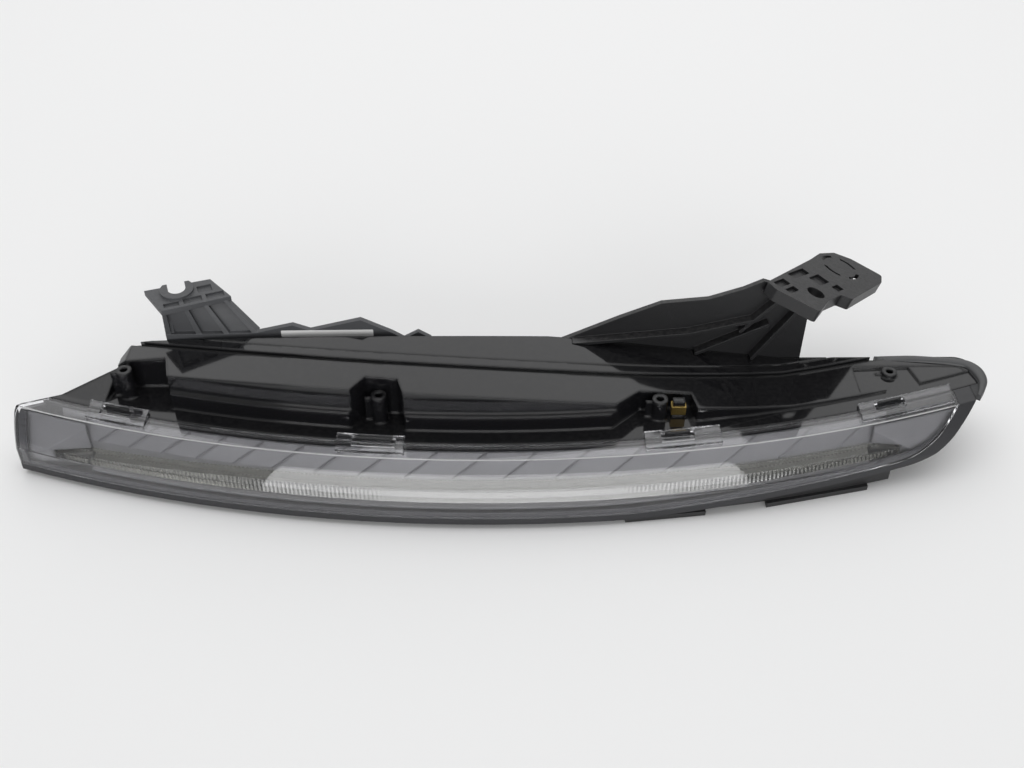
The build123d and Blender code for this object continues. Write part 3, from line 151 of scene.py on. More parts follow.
def angle(name, description, default):
    """Angle setting, in radians."""
    return FloatProperty(
        name=name,
        description=description,
        subtype="ANGLE",
        unit="ROTATION",
        default=default,
    )


def power(name, description, default):
    """Power setting of a light, in watts."""
    return FloatProperty(
        name=name,
        description=description,
        subtype="POWER",
        unit="POWER",
        min=0.0,
        default=default,
    )


class LampFinish(bpy.types.PropertyGroup):
    """Colours and surfaces of the lamp's pieces."""

    panel_black: colour("Panel", "Gloss black of the stepped panel", (0.007, 0.007, 0.008))
    panel_roughness: share("Panel roughness", "How dull the stepped panel is", 0.07)
    panel_edge_radius: length(
        "Panel edge radius", "Rounding of the panel's steps in the shading", 0.0028
    )
    housing_black: colour("Housing", "Moulded black of the housing", (0.02, 0.02, 0.021))
    housing_roughness: share("Housing roughness", "How dull the housing is", 0.48)
    bracket_grey: colour(
        "Inboard bracket", "Matte grey of the slotted bracket", (0.072, 0.074, 0.079)
    )
    # The ribbed arm's black is darker than the housing's: its own black plus painted shade of
    # the shadow it stands in
    arm_black_and_shade: colour("Outboard bracket", "Black of the ribbed arm", (0.009, 0.009, 0.01))
    border_grey: colour("Border", "Dark frame round the lens's edge", (0.022, 0.022, 0.025))
    reflector_grey: colour(
        "Reflector", "Satin grey of the reflector and end covers", (0.155, 0.155, 0.157)
    )
    reflector_edge_radius: length(
        "Reflector edge radius", "Rounding of the reflector's ribs in the shading", 0.0018
    )
    lens_tint: colour("Lens", "Tint of the clear lens", (0.95, 0.95, 0.97))
    lens_edge_radius: length(
        "Lens edge radius", "Rounding of the lens's edges in the shading", 0.0009
    )
    lens_roughness: share("Lens roughness", "Haze of the lens's surface", 0.02)
    guide_tint: colour("Light guide", "Tint of the clear light guide", (0.92, 0.92, 0.86))
    rubber_black: colour("Rubber", "Seals, grommets and leads", (0.018, 0.018, 0.018))
    zinc_yellow: colour("Clip", "Yellow zinc plate of the spring clip", (0.52, 0.37, 0.12))
    bare_steel: colour("Steel", "Zinc plate of the screws and rivets", (0.48, 0.48, 0.5))
    aluminium: colour("Aluminium", "Heat sinks and driver cover", (0.62, 0.62, 0.63))
    board_white: colour("LED boards", "White solder mask", (0.78, 0.78, 0.75))
    board_green: colour("Driver board", "Green solder mask", (0.012, 0.09, 0.035))
    led_yellow: colour("LEDs", "Phosphor of the LEDs", (0.85, 0.66, 0.12))
    blade_brass: colour("Blades", "Tinned brass of the connector's blades", (0.62, 0.46, 0.2))
    rim_grey: colour("Rim", "Satin grey of the rim round the panel's end", (0.06, 0.061, 0.063))
    # Colour of the ridge bead: a painted highlight of the bright line along the lens's ridge,
    # not a frosted finish
    ridge_highlight_white: colour("Ridge", "Frosted bead along the lens's ridge", (0.5, 0.5, 0.5))
    label_white: colour("Label", "Blank sticker on the inboard bracket", (0.88, 0.88, 0.87))
    dust: colour("Dust", "Dust that lies on upward faces", (0.42, 0.41, 0.4))
    dust_amount: share("Dust amount", "How much dust lies on the lamp", 0.07)
    edge_radius: length("Edge radius", "Rounding of moulded edges in the shading", 0.0006)


class LampLabel(bpy.types.PropertyGroup):
    """Blank sticker on the web of the inboard bracket."""

    width: length("Width", "Length of the sticker along the lamp", 0.064)
    height: length("Height", "Height of the sticker", 0.0056)
    corner: length("Corner", "Radius of the sticker's corners", 0.0008)
    thickness: length("Thickness", "Thickness of the sticker", 0.00015)
    place: place(
        "Place",
        "Middle of the sticker's back, on the front face of the web",
        (-0.126, 0.01857, 0.0756),
    )
    turn: angle("Turn", "Turn of the web in plan", math.atan(WEB_SLOPE))


class LampTrim(bpy.types.PropertyGroup):
    """Thin trim: the rim round the panel's outboard end, and the pale bead on the lens's ridge
    that paints its highlight.
    """

    rim_height: length("Rim height", "Height of the rim over the panel's end", 0.0024)
    rim_depth: length("Rim depth", "How far the rim reaches down past the panel's top", 0.0042)
    ledge_drop: length(
        "Ledge drop", "Depth of the ledge inside the rim under the panel's top", 0.0012
    )
    rim_base: length("Rim base", "Level of the panel's top at its outboard end", 0.0481)
    ridge_radius: length("Ridge radius", "Radius of the bead along the lens's ridge", 0.0004)
    ridge_depth: length(
        "Ridge depth", "Distance of the ridge behind the lens's front bend", 0.0168
    )
    ridge_level: length("Ridge level", "Height of the ridge", 0.0468)


class LampStage(bpy.types.PropertyGroup):
    """Floor, light and camera."""

    floor_white: colour("Floor", "Pale floor and backdrop", (0.885, 0.885, 0.883))
    sky: colour("Sky", "Even light from all round", (0.985, 0.99, 1.0))
    sky_strength: FloatProperty(
        name="Sky strength",
        description="Strength of the even light",
        min=0.0,
        default=0.4,
    )
    ceiling_power: power("Ceiling light", "Soft light from above", 28.0)
    rear_power: power("Rear light", "Soft light from behind and above", 27.0)
    window_power: power("Window", "Wide light that shines on the lens", 112.0)
    camera_place: place("Camera", "Place of the camera", (0.0025, -0.61725, 0.563))
    camera_pitch: angle("Camera pitch", "How far the camera looks down", math.radians(40.0))
    camera_lens: FloatProperty(
        name="Lens",
        description="Focal length in millimetres",
        min=1.0,
        default=40.43,
    )


def add_node(tree, kind, inputs=None, **settings):
    """New node with its settings and the values of its named or numbered inputs."""
    node = tree.nodes.new(kind)
    for key, value in settings.items():
        setattr(node, key, value)
    for key, value in (inputs or {}).items():
        node.inputs[key].default_value = value
    return node


def new_group(name, inputs, outputs):
    """Empty shader node group with its sockets, and its input and output nodes."""
    group = bpy.data.node_groups.new(name, "ShaderNodeTree")
    for label, kind, value in inputs:
        socket = group.interface.new_socket(name=label, in_out="INPUT", socket_type=kind)
        if value is not None:
            socket.default_value = value
    for label, kind in outputs:
        group.interface.new_socket(name=label, in_out="OUTPUT", socket_type=kind)
    return group, group.nodes.new("NodeGroupInput"), group.nodes.new("NodeGroupOutput")


def make_dust_group():
    """Fine dust that lies on faces that look up: colour and roughness."""
    group, given, result = new_group(
        "lying_dust",
        [
            ("Color", "NodeSocketColor", None),
            ("Dust Color", "NodeSocketColor", None),
            ("Roughness", "NodeSocketFloat", 0.3),
            ("Amount", "NodeSocketFloat", 0.1),
            ("Scale", "NodeSocketFloat", 420.0),
        ],
        [("Color", "NodeSocketColor"), ("Roughness", "NodeSocketFloat")],
    )
    link = group.links.new
    coordinates = add_node(group, "ShaderNodeTexCoord")
    patches = add_node(group, "ShaderNodeTexNoise", {"Detail": 8.0, "Roughness": 0.72})
    link(coordinates.outputs["Object"], patches.inputs["Vector"])
    link(given.outputs["Scale"], patches.inputs["Scale"])
    spots = add_node(group, "ShaderNodeMapRange", {"From Min": 0.42, "From Max": 0.78})
    link(patches.outputs["Fac"], spots.inputs["Value"])
    geometry = add_node(group, "ShaderNodeNewGeometry")
    parts = add_node(group, "ShaderNodeSeparateXYZ")
    link(geometry.outputs["Normal"], parts.inputs[0])
    upward = add_node(group, "ShaderNodeMapRange", {"From Min": 0.15, "From Max": 0.95})
    link(parts.outputs["Z"], upward.inputs["Value"])
    lying = add_node(group, "ShaderNodeMath", operation="MULTIPLY")
    link(spots.outputs["Result"], lying.inputs[0])
    link(upward.outputs["Result"], lying.inputs[1])
    mask = add_node(group, "ShaderNodeMath", operation="MULTIPLY", use_clamp=True)
    link(lying.outputs[0], mask.inputs[0])
    link(given.outputs["Amount"], mask.inputs[1])
    tone = add_node(group, "ShaderNodeMix", data_type="RGBA")
    link(mask.outputs[0], tone.inputs["Factor"])
    link(given.outputs["Color"], tone.inputs["A"])
    link(given.outputs["Dust Color"], tone.inputs["B"])
    dull = add_node(group, "ShaderNodeMix", {FLOAT_B: DUST_ROUGHNESS})
    link(mask.outputs[0], dull.inputs["Factor"])
    link(given.outputs["Roughness"], dull.inputs[FLOAT_A])
    link(tone.outputs["Result"], result.inputs["Color"])
    link(dull.outputs["Result"], result.inputs["Roughness"])
    return group


def make_grain_group():
    """Fine moulded grain: a height for the bump and a slight change of tone."""
    group, given, result = new_group(
        "moulded_grain",
        [("Scale", "NodeSocketFloat", 1800.0), ("Drift", "NodeSocketFloat", 0.15)],
        [("Height", "NodeSocketFloat"), ("Tone", "NodeSocketFloat")],
    )
    link = group.links.new
    coordinates = add_node(group, "ShaderNodeTexCoord")
    pits = add_node(group, "ShaderNodeTexVoronoi", feature="SMOOTH_F1")
    link(coordinates.outputs["Object"], pits.inputs["Vector"])
    link(given.outputs["Scale"], pits.inputs["Scale"])
    clouds = add_node(group, "ShaderNodeTexNoise", {"Scale": 22.0, "Detail": 5.0})
    link(coordinates.outputs["Object"], clouds.inputs["Vector"])
    low = add_node(group, "ShaderNodeMath", {0: 1.0}, operation="SUBTRACT")
    link(given.outputs["Drift"], low.inputs[1])
    tone = add_node(
        group, "ShaderNodeMapRange", {"From Min": 0.3, "From Max": 0.7, "To Max": 1.0}
    )
    link(clouds.outputs["Fac"], tone.inputs["Value"])
    link(low.outputs[0], tone.inputs["To Min"])
    link(pits.outputs["Distance"], result.inputs["Height"])
    link(tone.outputs["Result"], result.inputs["Tone"])
    return group


def make_edge_group():
    """Rounded moulded edges in the shading, and a mask of the edges for the painted edge
    highlight.
    """
    group, given, result = new_group(
        "soft_edges",
        [("Radius", "NodeSocketFloat", 0.0006)],
        [("Normal", "NodeSocketVector"), ("Edge", "NodeSocketFloat")],
    )
    link = group.links.new
    bevel = add_node(group, "ShaderNodeBevel", samples=4)
    link(given.outputs["Radius"], bevel.inputs["Radius"])
    geometry = add_node(group, "ShaderNodeNewGeometry")
    turn = add_node(group, "ShaderNodeVectorMath", operation="DOT_PRODUCT")
    link(bevel.outputs["Normal"], turn.inputs[0])
    link(geometry.outputs["Normal"], turn.inputs[1])
    edge = add_node(group, "ShaderNodeMapRange", {"From Min": 0.99, "From Max": 0.8})
    link(turn.outputs["Value"], edge.inputs["Value"])
    link(bevel.outputs["Normal"], result.inputs["Normal"])
    link(edge.outputs["Result"], result.inputs["Edge"])
    return group


def make_wiping_group():
    """Faint wiping marks: a roughness that makes a surface a little uneven."""
    group, given, result = new_group(
        "wiping_marks",
        [("Roughness", "NodeSocketFloat", 0.1), ("Strength", "NodeSocketFloat", 0.06)],
        [("Roughness", "NodeSocketFloat")],
    )
    link = group.links.new
    coordinates = add_node(group, "ShaderNodeTexCoord")
    stretch = add_node(
        group,
        "ShaderNodeMapping",
        {"Scale": (9.0, 120.0, 60.0), "Rotation": (0.0, 0.0, 0.35)},
    )
    link(coordinates.outputs["Object"], stretch.inputs["Vector"])
    marks = add_node(
        group, "ShaderNodeTexNoise", {"Scale": 5.0, "Detail": 7.0, "Roughness": 0.7}
    )
    link(stretch.outputs["Vector"], marks.inputs["Vector"])
    more = add_node(group, "ShaderNodeMapRange", {"From Min": 0.45, "From Max": 0.75})
    link(marks.outputs["Fac"], more.inputs["Value"])
    uneven = add_node(group, "ShaderNodeMath", operation="MULTIPLY_ADD")
    link(more.outputs["Result"], uneven.inputs[0])
    link(given.outputs["Strength"], uneven.inputs[1])
    link(given.outputs["Roughness"], uneven.inputs[2])
    link(uneven.outputs[0], result.inputs["Roughness"])
    return group


GROUP_MAKERS = {
    "lying_dust": make_dust_group,
    "moulded_grain": make_grain_group,
    "soft_edges": make_edge_group,
    "wiping_marks": make_wiping_group,
}


def effect(tree, name, **inputs):
    """Node group placed in a material, made on its first use."""
    group = bpy.data.node_groups.get(name) or GROUP_MAKERS[name]()
    node = add_node(tree, "ShaderNodeGroup", node_tree=group)
    for label, value in inputs.items():
        node.inputs[label.replace("_", " ").title()].default_value = value
    return node


def new_material(name):
    """Material with its node tree and its Principled shader."""
    material = bpy.data.materials.new(name)
    material.use_nodes = True
    tree = material.node_tree
    return material, tree, tree.nodes["Principled BSDF"]


def moulded_material(
    name,
    tint,
    finish,
    *,
    roughness,
    dust=1.0,
    grain=0.0,
    metallic=0.0,
    edge_light=0.0,
    edge_radius=0.0,
    marks=0.08,
):
    """Moulded or metal surface with grain, lying dust, wiping marks, soft edges, and a painted
    edge highlight that lightens the tint along edges by edge_light.
    """
    material, tree, shader = new_material(name)
    link = tree.links.new
    edges = effect(tree, "soft_edges", radius=edge_radius or finish.edge_radius)
    wiped = effect(tree, "wiping_marks", roughness=roughness, strength=marks)
    dusty = effect(tree, "lying_dust", dust_color=finish.dust, amount=finish.dust_amount * dust)
    grained = effect(tree, "moulded_grain")
    toned = add_node(
        tree,
        "ShaderNodeMix",
        {"Factor": 1.0, "A": tint},
        data_type="RGBA",
        blend_type="MULTIPLY",
    )
    link(grained.outputs["Tone"], toned.inputs["B"])
    # Painted edge highlight: a lighter copy of the tint, mixed in along the edges by edge_light
    edge_highlight_tint = [min(1.0, part * EDGE_HIGHLIGHT_GAIN + EDGE_HIGHLIGHT_LIFT) for part in tint[:3]]
    edge_highlight = add_node(tree, "ShaderNodeMix", {"B": [*edge_highlight_tint, 1.0]}, data_type="RGBA")
    amount = add_node(tree, "ShaderNodeMath", {1: edge_light}, operation="MULTIPLY")
    link(edges.outputs["Edge"], amount.inputs[0])
    link(amount.outputs[0], edge_highlight.inputs["Factor"])
    link(toned.outputs["Result"], edge_highlight.inputs["A"])
    link(edge_highlight.outputs["Result"], dusty.inputs["Color"])
    link(wiped.outputs["Roughness"], dusty.inputs["Roughness"])
    bump = add_node(tree, "ShaderNodeBump", {"Strength": grain, "Distance": GRAIN_DEPTH})
    link(grained.outputs["Height"], bump.inputs["Height"])
    link(edges.outputs["Normal"], bump.inputs["Normal"])
    link(dusty.outputs["Color"], shader.inputs["Base Color"])
    link(dusty.outputs["Roughness"], shader.inputs["Roughness"])
    link(bump.outputs["Normal"], shader.inputs["Normal"])
    shader.inputs["Metallic"].default_value = metallic
    return material


def clear_material(name, tint, *, roughness, ior, haze, edge_radius=0.0, specular=0.5):
    """Clear plastic that lets light through to what is behind it."""
    material, tree, shader = new_material(name)
    link = tree.links.new
    marks = effect(tree, "wiping_marks", roughness=roughness, strength=haze)
    link(marks.outputs["Roughness"], shader.inputs["Roughness"])
    shader.inputs["Base Color"].default_value = tint
    shader.inputs["Transmission Weight"].default_value = 1.0
    shader.inputs["IOR"].default_value = ior
    shader.inputs["Specular IOR Level"].default_value = specular
    if edge_radius:
        edges = effect(tree, "soft_edges", radius=edge_radius)
        link(edges.outputs["Normal"], shader.inputs["Normal"])
    passing = add_node(tree, "ShaderNodeBsdfTransparent", {"Color": tint})
    path = add_node(tree, "ShaderNodeLightPath")
    mix = add_node(tree, "ShaderNodeMixShader")
    link(path.outputs["Is Shadow Ray"], mix.inputs["Fac"])
    link(shader.outputs["BSDF"], mix.inputs[SHADER_A])
    link(passing.outputs["BSDF"], mix.inputs[SHADER_B])
    link(mix.outputs["Shader"], tree.nodes["Material Output"].inputs["Surface"])
    return material


def curve_value(before, start, end, after, t):
    """Catmull-Rom value between start and end."""
    slope = end - before
    bend = 2 * before - 5 * start + 4 * end - after
    twist = 3 * (start - end) + after - before
    return start + 0.5 * t * (slope + t * (bend + t * twist))


def smooth_line(stations, steps):
    """Smooth line through the stations, with each station's other values."""
    last = len(stations) - 1
    line = []
    for index in range(last):
        around = [stations[min(max(index + shift, 0), last)] for shift in (-1, 0, 1, 2)]
        for step in range(steps):
            line.append([curve_value(*values, step / steps) for values in zip(*around)])
    return [*line, list(stations[-1])]


def strip_shape(rings):
    """Closed strip through rings of points."""
    shape = bmesh.new()
    loops = [[shape.verts.new(point) for point in ring] for ring in rings]
    for first, second in zip(loops, loops[1:]):
        for index in range(len(first)):
            corners = (first[index - 1], first[index], second[index], second[index - 1])
            shape.faces.new(corners).smooth = True
    shape.faces.new(loops[0])
    shape.faces.new(loops[-1])
    bmesh.ops.recalc_face_normals(shape, faces=shape.faces)
    return shape


def new_piece(context, name, shape, material, location=(0.0, 0.0, 0.0), turn=0.0):
    """Object made from a shape, turned in plan and set at its place."""
    mesh = bpy.data.meshes.new(name)
    shape.to_mesh(mesh)
    shape.free()
    mesh.materials.append(material)
    piece = bpy.data.objects.new(name, mesh)
    piece.location = location
    piece.rotation_euler = (0.0, 0.0, turn)
    context.scene.collection.objects.link(piece)
    return piece


def dress(material, *names):
    """Gives CAD nodes their material."""
    for name in names:
        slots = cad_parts[name].data.materials
        slots.clear()
        slots.append(material)


class LAMP_OT_stage(bpy.types.Operator):
    """Makes the floor, the soft lights and the camera"""

    bl_idname = "lamp.stage"
    bl_label = "Stage"

    def execute(self, context):
        scene = context.scene
        stage = scene.lamp_stage
        scene.view_settings.view_transform = "Standard"
        self.floor(context, stage)
        scene.world = self.world(stage)
        self.soft_light(
            scene,
            "ceiling_light",
            location=(0.0, 0.1, 2.5),
            target=(0.0, 0.1, 0.0),
            size=(4.6, 1.8),
            watts=stage.ceiling_power,
        )
        self.soft_light(
            scene,
            "rear_light",
            location=(0.0, 1.9, 1.8),
            target=(0.0, 0.0, 0.0),
            size=(4.0, 2.4),
            watts=stage.rear_power,
        )
        self.soft_light(
            scene,
            "window_light",
            location=(0.1, -4.4, 1.2),
            target=(0.1, 0.0, 1.2),
            size=(4.8, 2.4),
            watts=stage.window_power,
        )
        self.camera(scene, stage)
        return {"FINISHED"}

    def floor(self, context, stage):
        """Plain pale floor under the lamp."""
        shape = bmesh.new()
        bmesh.ops.create_grid(
            shape, x_segments=FLOOR_CELLS, y_segments=FLOOR_CELLS, size=FLOOR_HALF
        )
        material, _, shader = new_material("pale_floor")
        shader.inputs["Base Color"].default_value = stage.floor_white
        shader.inputs["Roughness"].default_value = FLOOR_ROUGHNESS
        shader.inputs["Specular IOR Level"].default_value = FLOOR_SPECULAR
        floor = new_piece(context, "pale_floor", shape, material)

    def world(self, stage):
        """Even light from all round, which the camera sees in the floor's colour."""
        world = bpy.data.worlds.new("soft_room")
        world.use_nodes = True
        tree = world.node_tree
        link = tree.links.new
        sky = tree.nodes["Background"]
        sky.inputs["Color"].default_value = stage.sky
        sky.inputs["Strength"].default_value = stage.sky_strength
        backdrop = add_node(tree, "ShaderNodeBackground", {"Color": stage.floor_white})
        path = add_node(tree, "ShaderNodeLightPath")
        mix = add_node(tree, "ShaderNodeMixShader")
        link(path.outputs["Is Camera Ray"], mix.inputs["Fac"])
        link(sky.outputs["Background"], mix.inputs[SHADER_A])
        link(backdrop.outputs["Background"], mix.inputs[SHADER_B])
        link(mix.outputs["Shader"], tree.nodes["World Output"].inputs["Surface"])
        return world

    def soft_light(self, scene, name, *, location, target, size, watts):
        """Wide area light that looks at a point."""
        light = bpy.data.lights.new(name, "AREA")
        light.shape = "RECTANGLE"
        light.size, light.size_y = size
        light.energy = watts
        holder = bpy.data.objects.new(name, light)
        holder.location = location
        aim = Vector(target) - Vector(location)
        holder.rotation_euler = aim.to_track_quat("-Z", "Y").to_euler()
        scene.collection.objects.link(holder)

    def camera(self, scene, stage):
        """Camera in front of the lamp, looking down at it."""
        camera = bpy.data.cameras.new("camera")
        camera.lens = stage.camera_lens
        camera.sensor_width = SENSOR_WIDTH_MM
        camera.clip_start = CLIP_START
        holder = bpy.data.objects.new("camera", camera)
        holder.location = stage.camera_place
        holder.rotation_euler = (math.pi / 2 - stage.camera_pitch, 0.0, 0.0)
        scene.collection.objects.link(holder)
        scene.camera = holder


class LAMP_OT_housing(bpy.types.Operator):
    """Finishes the housing, the driver's case and the pieces on the rear wall"""

    bl_idname = "lamp.housing"
    bl_label = "Housing"

    def execute(self, context):
        finish = context.scene.lamp_finish
        moulded_black = moulded_material(
            "moulded_black",
            finish.housing_black,
            finish,
            roughness=finish.housing_roughness,
            grain=0.25,
            edge_light=0.5,
        )
        dress(moulded_black, "housing", "vent_cap", "connector_socket", "driver_case")
        return {"FINISHED"}


class LAMP_OT_brackets(bpy.types.Operator):
    """Finishes both brackets and their rivets"""

    bl_idname = "lamp.brackets"
    bl_label = "Brackets"

    def execute(self, context):
        finish = context.scene.lamp_finish
        matte_grey = moulded_material(
            "matte_grey",
            finish.bracket_grey,
            finish,
            roughness=0.55,
            grain=0.3,
            edge_light=0.6,
        )
        dress(matte_grey, "inboard_bracket")
        # Black of the arm plus painted shade, darker than the housing
        ribbed_black_shaded = moulded_material(
            "ribbed_black_shaded",
            finish.arm_black_and_shade,
            finish,
            roughness=0.42,
            dust=1.5,
            grain=0.3,
            edge_light=0.7,
        )
        dress(ribbed_black_shaded, "outboard_bracket")
        rivet_steel = moulded_material(
            "rivet_steel", finish.bare_steel, finish, roughness=0.36, dust=0.5, metallic=1.0
        )
        dress(rivet_steel, "bracket_rivets")
        return {"FINISHED"}


class LAMP_OT_label(bpy.types.Operator):
    """Makes the blank sticker on the inboard bracket's web"""

    bl_idname = "lamp.label"
    bl_label = "Label"

    def execute(self, context):
        finish = context.scene.lamp_finish
        label = context.scene.lamp_label
        blank_paper = moulded_material(
            "blank_paper",
            finish.label_white,
            finish,
            roughness=0.42,
            dust=0.4,
            grain=0.05,
            edge_radius=label.thickness,
        )
        piece = new_piece(
            context, "blank_label", self.sheet(label), blank_paper, label.place, label.turn
        )
        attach(piece, "root")
        return {"FINISHED"}

    def sheet(self, label):
        """Thin upright sheet with round corners."""
        half_width = label.width / 2 - label.corner
        half_height = label.height / 2 - label.corner
        shape = bmesh.new()
        outline = []
        for corner, (side, top) in enumerate(((1, 1), (-1, 1), (-1, -1), (1, -1))):
            for step in range(LABEL_CORNER_STEPS + 1):
                turn = math.pi / 2 * (corner + step / LABEL_CORNER_STEPS)
                x = side * half_width + label.corner * math.cos(turn)
                z = top * half_height + label.corner * math.sin(turn)
                outline.append(shape.verts.new((x, 0.0, z)))
        face = shape.faces.new(outline)
        grown = bmesh.ops.extrude_face_region(shape, geom=[face])
        front = [item for item in grown["geom"] if isinstance(item, bmesh.types.BMVert)]
        bmesh.ops.translate(shape, verts=front, vec=(0.0, -label.thickness, 0.0))
        bmesh.ops.recalc_face_normals(shape, faces=shape.faces)
        return shape


class LAMP_OT_panel(bpy.types.Operator):
    """Finishes the gloss panel and its spring clip"""

    bl_idname = "lamp.panel"
    bl_label = "Panel"

    def execute(self, context):
        finish = context.scene.lamp_finish
        gloss_black = moulded_material(
            "gloss_black",
            finish.panel_black,
            finish,
            roughness=finish.panel_roughness,
            dust=0.5,
            edge_radius=finish.panel_edge_radius,
            marks=0.03,
        )
        dress(gloss_black, "upper_panel")
        yellow_zinc = moulded_material(
            "yellow_zinc", finish.zinc_yellow, finish, roughness=0.32, dust=0.5, metallic=1.0
        )
        dress(yellow_zinc, "spring_clip")
        return {"FINISHED"}


class LAMP_OT_rim(bpy.types.Operator):
    """Makes the rim round the panel's outboard end"""

    bl_idname = "lamp.rim"
    bl_label = "Rim"

    def execute(self, context):
        finish = context.scene.lamp_finish
        satin_rim = moulded_material(
            "satin_rim", finish.rim_grey, finish, roughness=0.4, dust=0.5, grain=0.1
        )
        shape = strip_shape(self.sections(context.scene.lamp_trim))
        piece = new_piece(context, "panel_end_rim", shape, satin_rim)
        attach(piece, "root")
        return {"FINISHED"}

    def sections(self, trim):
        """Sections of the rim, each square to its outer edge."""
        foot = trim.rim_base - trim.rim_depth
        ledge_level = trim.rim_base - trim.ledge_drop
        line = smooth_line(RIM_STATIONS, RIM_STEPS)
        rings = []
        for index, (x, y, width, rise, ledge) in enumerate(line):
            ahead = line[min(index + 1, len(line) - 1)]
            behind = line[max(index - 1, 0)]
            along = Vector((ahead[0] - behind[0], ahead[1] - behind[1])).normalized()
            section = [(0.0, foot)]
            for across, up in RIM_SECTION:
                section.append((across * width, trim.rim_base + up * rise * trim.rim_height))
            inner = width + ledge
            section += [(width, ledge_level), (inner, ledge_level), (inner, foot)]
            rings.append(
                [(x + along.y * reach, y - along.x * reach, level) for reach, level in section]
            )
        return rings


class LAMP_OT_lens(bpy.types.Operator):
    """Finishes the lens, its dark border, and the rubber seals and leads"""

    bl_idname = "lamp.lens"
    bl_label = "Lens"

    def execute(self, context):
        finish = context.scene.lamp_finish
        clear_lens = clear_material(
            "clear_lens",
            finish.lens_tint,
            roughness=finish.lens_roughness,
            ior=1.52,
            haze=0.03,
            edge_radius=finish.lens_edge_radius,
        )
        dress(clear_lens, "outer_lens")
        dark_border = moulded_material(
            "dark_border", finish.border_grey, finish, roughness=0.45, dust=0.3, grain=0.1
        )
        dress(dark_border, "lens_border")
        soft_rubber = moulded_material(
            "soft_rubber", finish.rubber_black, finish, roughness=0.75, dust=0.3, grain=0.2
        )
        dress(soft_rubber, "lens_seal", "socket_gasket", "lead_grommets")
        dress(soft_rubber, "feed_lead", "inboard_lead", "outboard_lead")
        return {"FINISHED"}


class LAMP_OT_ridge(bpy.types.Operator):
    """Makes the fine pale bead along the lens's ridge, a painted highlight of the bright line
    that the ridge catches
    """

    bl_idname = "lamp.ridge"
    bl_label = "Ridge"

    def execute(self, context):
        finish = context.scene.lamp_finish
        # Pale bead: painted highlight along the clear lens's ridge
        painted_ridge_highlight = moulded_material(
            "painted_ridge_highlight", finish.ridge_highlight_white, finish, roughness=0.3, dust=0.0
        )
        shape = strip_shape(self.sections(context.scene.lamp_trim))
        piece = new_piece(context, "lens_ridge_highlight_bead", shape, painted_ridge_highlight)
        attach(piece, "root")
        return {"FINISHED"}

    def sections(self, trim):
        """Round sections of the bead along the lamp's bend."""
        radius = BEND_RADIUS - trim.ridge_depth
        start, end = (math.asin((x - BEND_MIDDLE[0]) / radius) for x in RIDGE_ENDS)
        rings = []
        for step in range(RIDGE_STEPS + 1):
            bend = start + (end - start) * step / RIDGE_STEPS
            ring = []
            for side in range(RIDGE_SIDES):
                turn = math.tau * side / RIDGE_SIDES
                reach = radius + trim.ridge_radius * math.cos(turn)
                x = BEND_MIDDLE[0] + reach * math.sin(bend)
                y = BEND_MIDDLE[1] - reach * math.cos(bend)
                z = trim.ridge_level + trim.ridge_radius * math.sin(turn)
                ring.append((x, y, z))
            rings.append(ring)
        return rings


class LAMP_OT_light_guide(bpy.types.Operator):
    """Finishes the toothed light guide"""

    bl_idname = "lamp.light_guide"
    bl_label = "Light guide"

    def execute(self, context):
        finish = context.scene.lamp_finish
        clear_guide = clear_material(
            "clear_guide", finish.guide_tint, roughness=0.04, ior=1.49, haze=0.04, specular=0.12
        )
        dress(clear_guide, "light_guide")
        return {"FINISHED"}


class LAMP_OT_reflector(bpy.types.Operator):
    """Finishes the ribbed reflector and both end covers"""

    bl_idname = "lamp.reflector"
    bl_label = "Reflector"

    def execute(self, context):
        finish = context.scene.lamp_finish
        satin_grey = moulded_material(
            "satin_grey",
            finish.reflector_grey,
            finish,
            roughness=0.42,
            dust=0.0,
            grain=0.05,
            metallic=0.15,
            edge_radius=finish.reflector_edge_radius,
        )
        dress(satin_grey, "reflector", "inboard_end_cover", "outboard_end_cover")
        return {"FINISHED"}


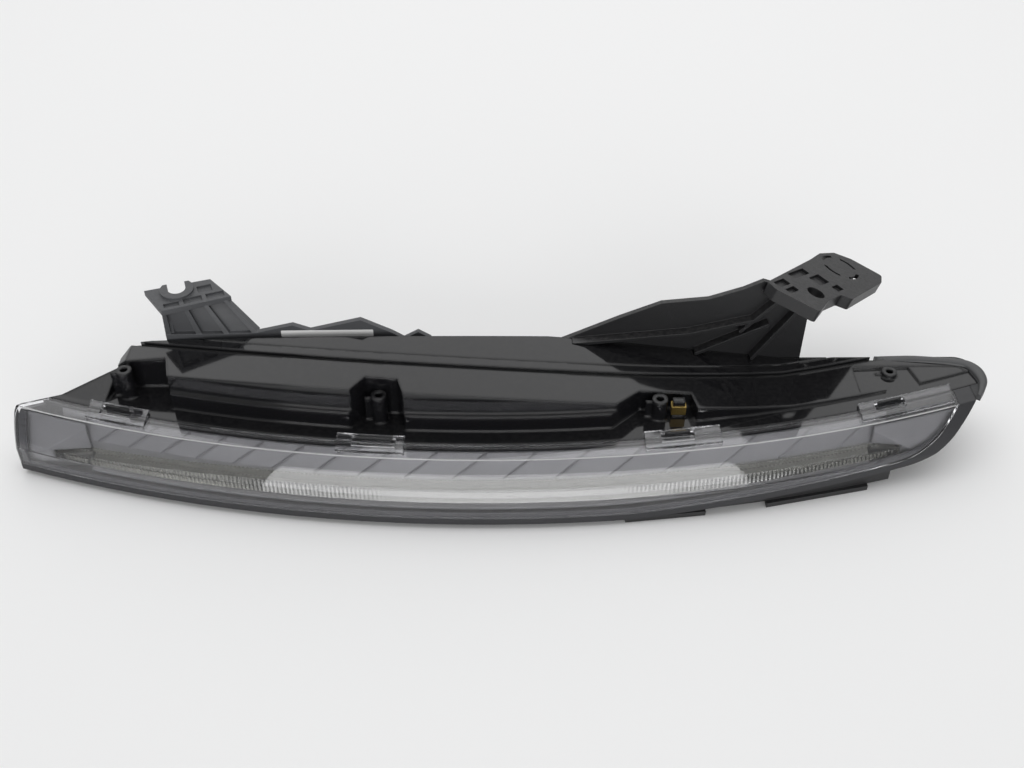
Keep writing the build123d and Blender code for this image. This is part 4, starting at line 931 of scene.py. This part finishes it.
class LAMP_OT_electronics(bpy.types.Operator):
    """Finishes the boards, LEDs, heat sinks, blades and screws inside"""

    bl_idname = "lamp.electronics"
    bl_label = "Electronics"

    def execute(self, context):
        finish = context.scene.lamp_finish
        white_board = moulded_material(
            "white_board", finish.board_white, finish, roughness=0.4, dust=0.0
        )
        dress(white_board, "inboard_led_board", "outboard_led_board")
        green_board = moulded_material(
            "green_board", finish.board_green, finish, roughness=0.3, dust=0.0
        )
        dress(green_board, "driver_board")
        yellow_phosphor = moulded_material(
            "yellow_phosphor", finish.led_yellow, finish, roughness=0.25, dust=0.0
        )
        dress(yellow_phosphor, "inboard_led", "outboard_led")
        bare_aluminium = moulded_material(
            "bare_aluminium", finish.aluminium, finish, roughness=0.38, dust=0.0, metallic=1.0
        )
        dress(bare_aluminium, "inboard_heat_sink", "outboard_heat_sink", "driver_cover")
        zinc_screws = moulded_material(
            "zinc_screws", finish.bare_steel, finish, roughness=0.3, dust=0.0, metallic=1.0
        )
        dress(zinc_screws, "board_screws", "driver_screws")
        brass_blades = moulded_material(
            "brass_blades", finish.blade_brass, finish, roughness=0.28, dust=0.0, metallic=1.0
        )
        dress(brass_blades, "connector_pins")
        return {"FINISHED"}


class LAMP_PT_panel(bpy.types.Panel):
    """Lists the lamp's pieces and settings"""

    bl_idname = "LAMP_PT_panel"
    bl_label = "Lamp"
    bl_space_type = "VIEW_3D"
    bl_region_type = "UI"
    bl_category = "Lamp"

    def draw(self, context):
        for operator in OPERATORS:
            self.layout.operator(operator.bl_idname)
        for settings in (
            context.scene.lamp_finish,
            context.scene.lamp_label,
            context.scene.lamp_trim,
            context.scene.lamp_stage,
        ):
            box = self.layout.box()
            for name in settings.__annotations__:
                box.prop(settings, name)


OPERATORS = [
    LAMP_OT_stage,
    LAMP_OT_housing,
    LAMP_OT_brackets,
    LAMP_OT_label,
    LAMP_OT_panel,
    LAMP_OT_rim,
    LAMP_OT_lens,
    LAMP_OT_ridge,
    LAMP_OT_light_guide,
    LAMP_OT_reflector,
    LAMP_OT_electronics,
]
CLASSES = [LampFinish, LampLabel, LampTrim, LampStage, *OPERATORS, LAMP_PT_panel]


def register():
    for item in CLASSES:
        bpy.utils.register_class(item)
    bpy.types.Scene.lamp_finish = PointerProperty(type=LampFinish)
    bpy.types.Scene.lamp_label = PointerProperty(type=LampLabel)
    bpy.types.Scene.lamp_trim = PointerProperty(type=LampTrim)
    bpy.types.Scene.lamp_stage = PointerProperty(type=LampStage)


def unregister():
    del bpy.types.Scene.lamp_stage
    del bpy.types.Scene.lamp_trim
    del bpy.types.Scene.lamp_label
    del bpy.types.Scene.lamp_finish
    for item in reversed(CLASSES):
        bpy.utils.unregister_class(item)


def main():
    register()
    bpy.ops.lamp.stage()
    bpy.ops.lamp.housing()
    bpy.ops.lamp.brackets()
    bpy.ops.lamp.label()
    bpy.ops.lamp.panel()
    bpy.ops.lamp.rim()
    bpy.ops.lamp.lens()
    bpy.ops.lamp.ridge()
    bpy.ops.lamp.light_guide()
    bpy.ops.lamp.reflector()
    bpy.ops.lamp.electronics()


if __name__ == "__main__":
    main()
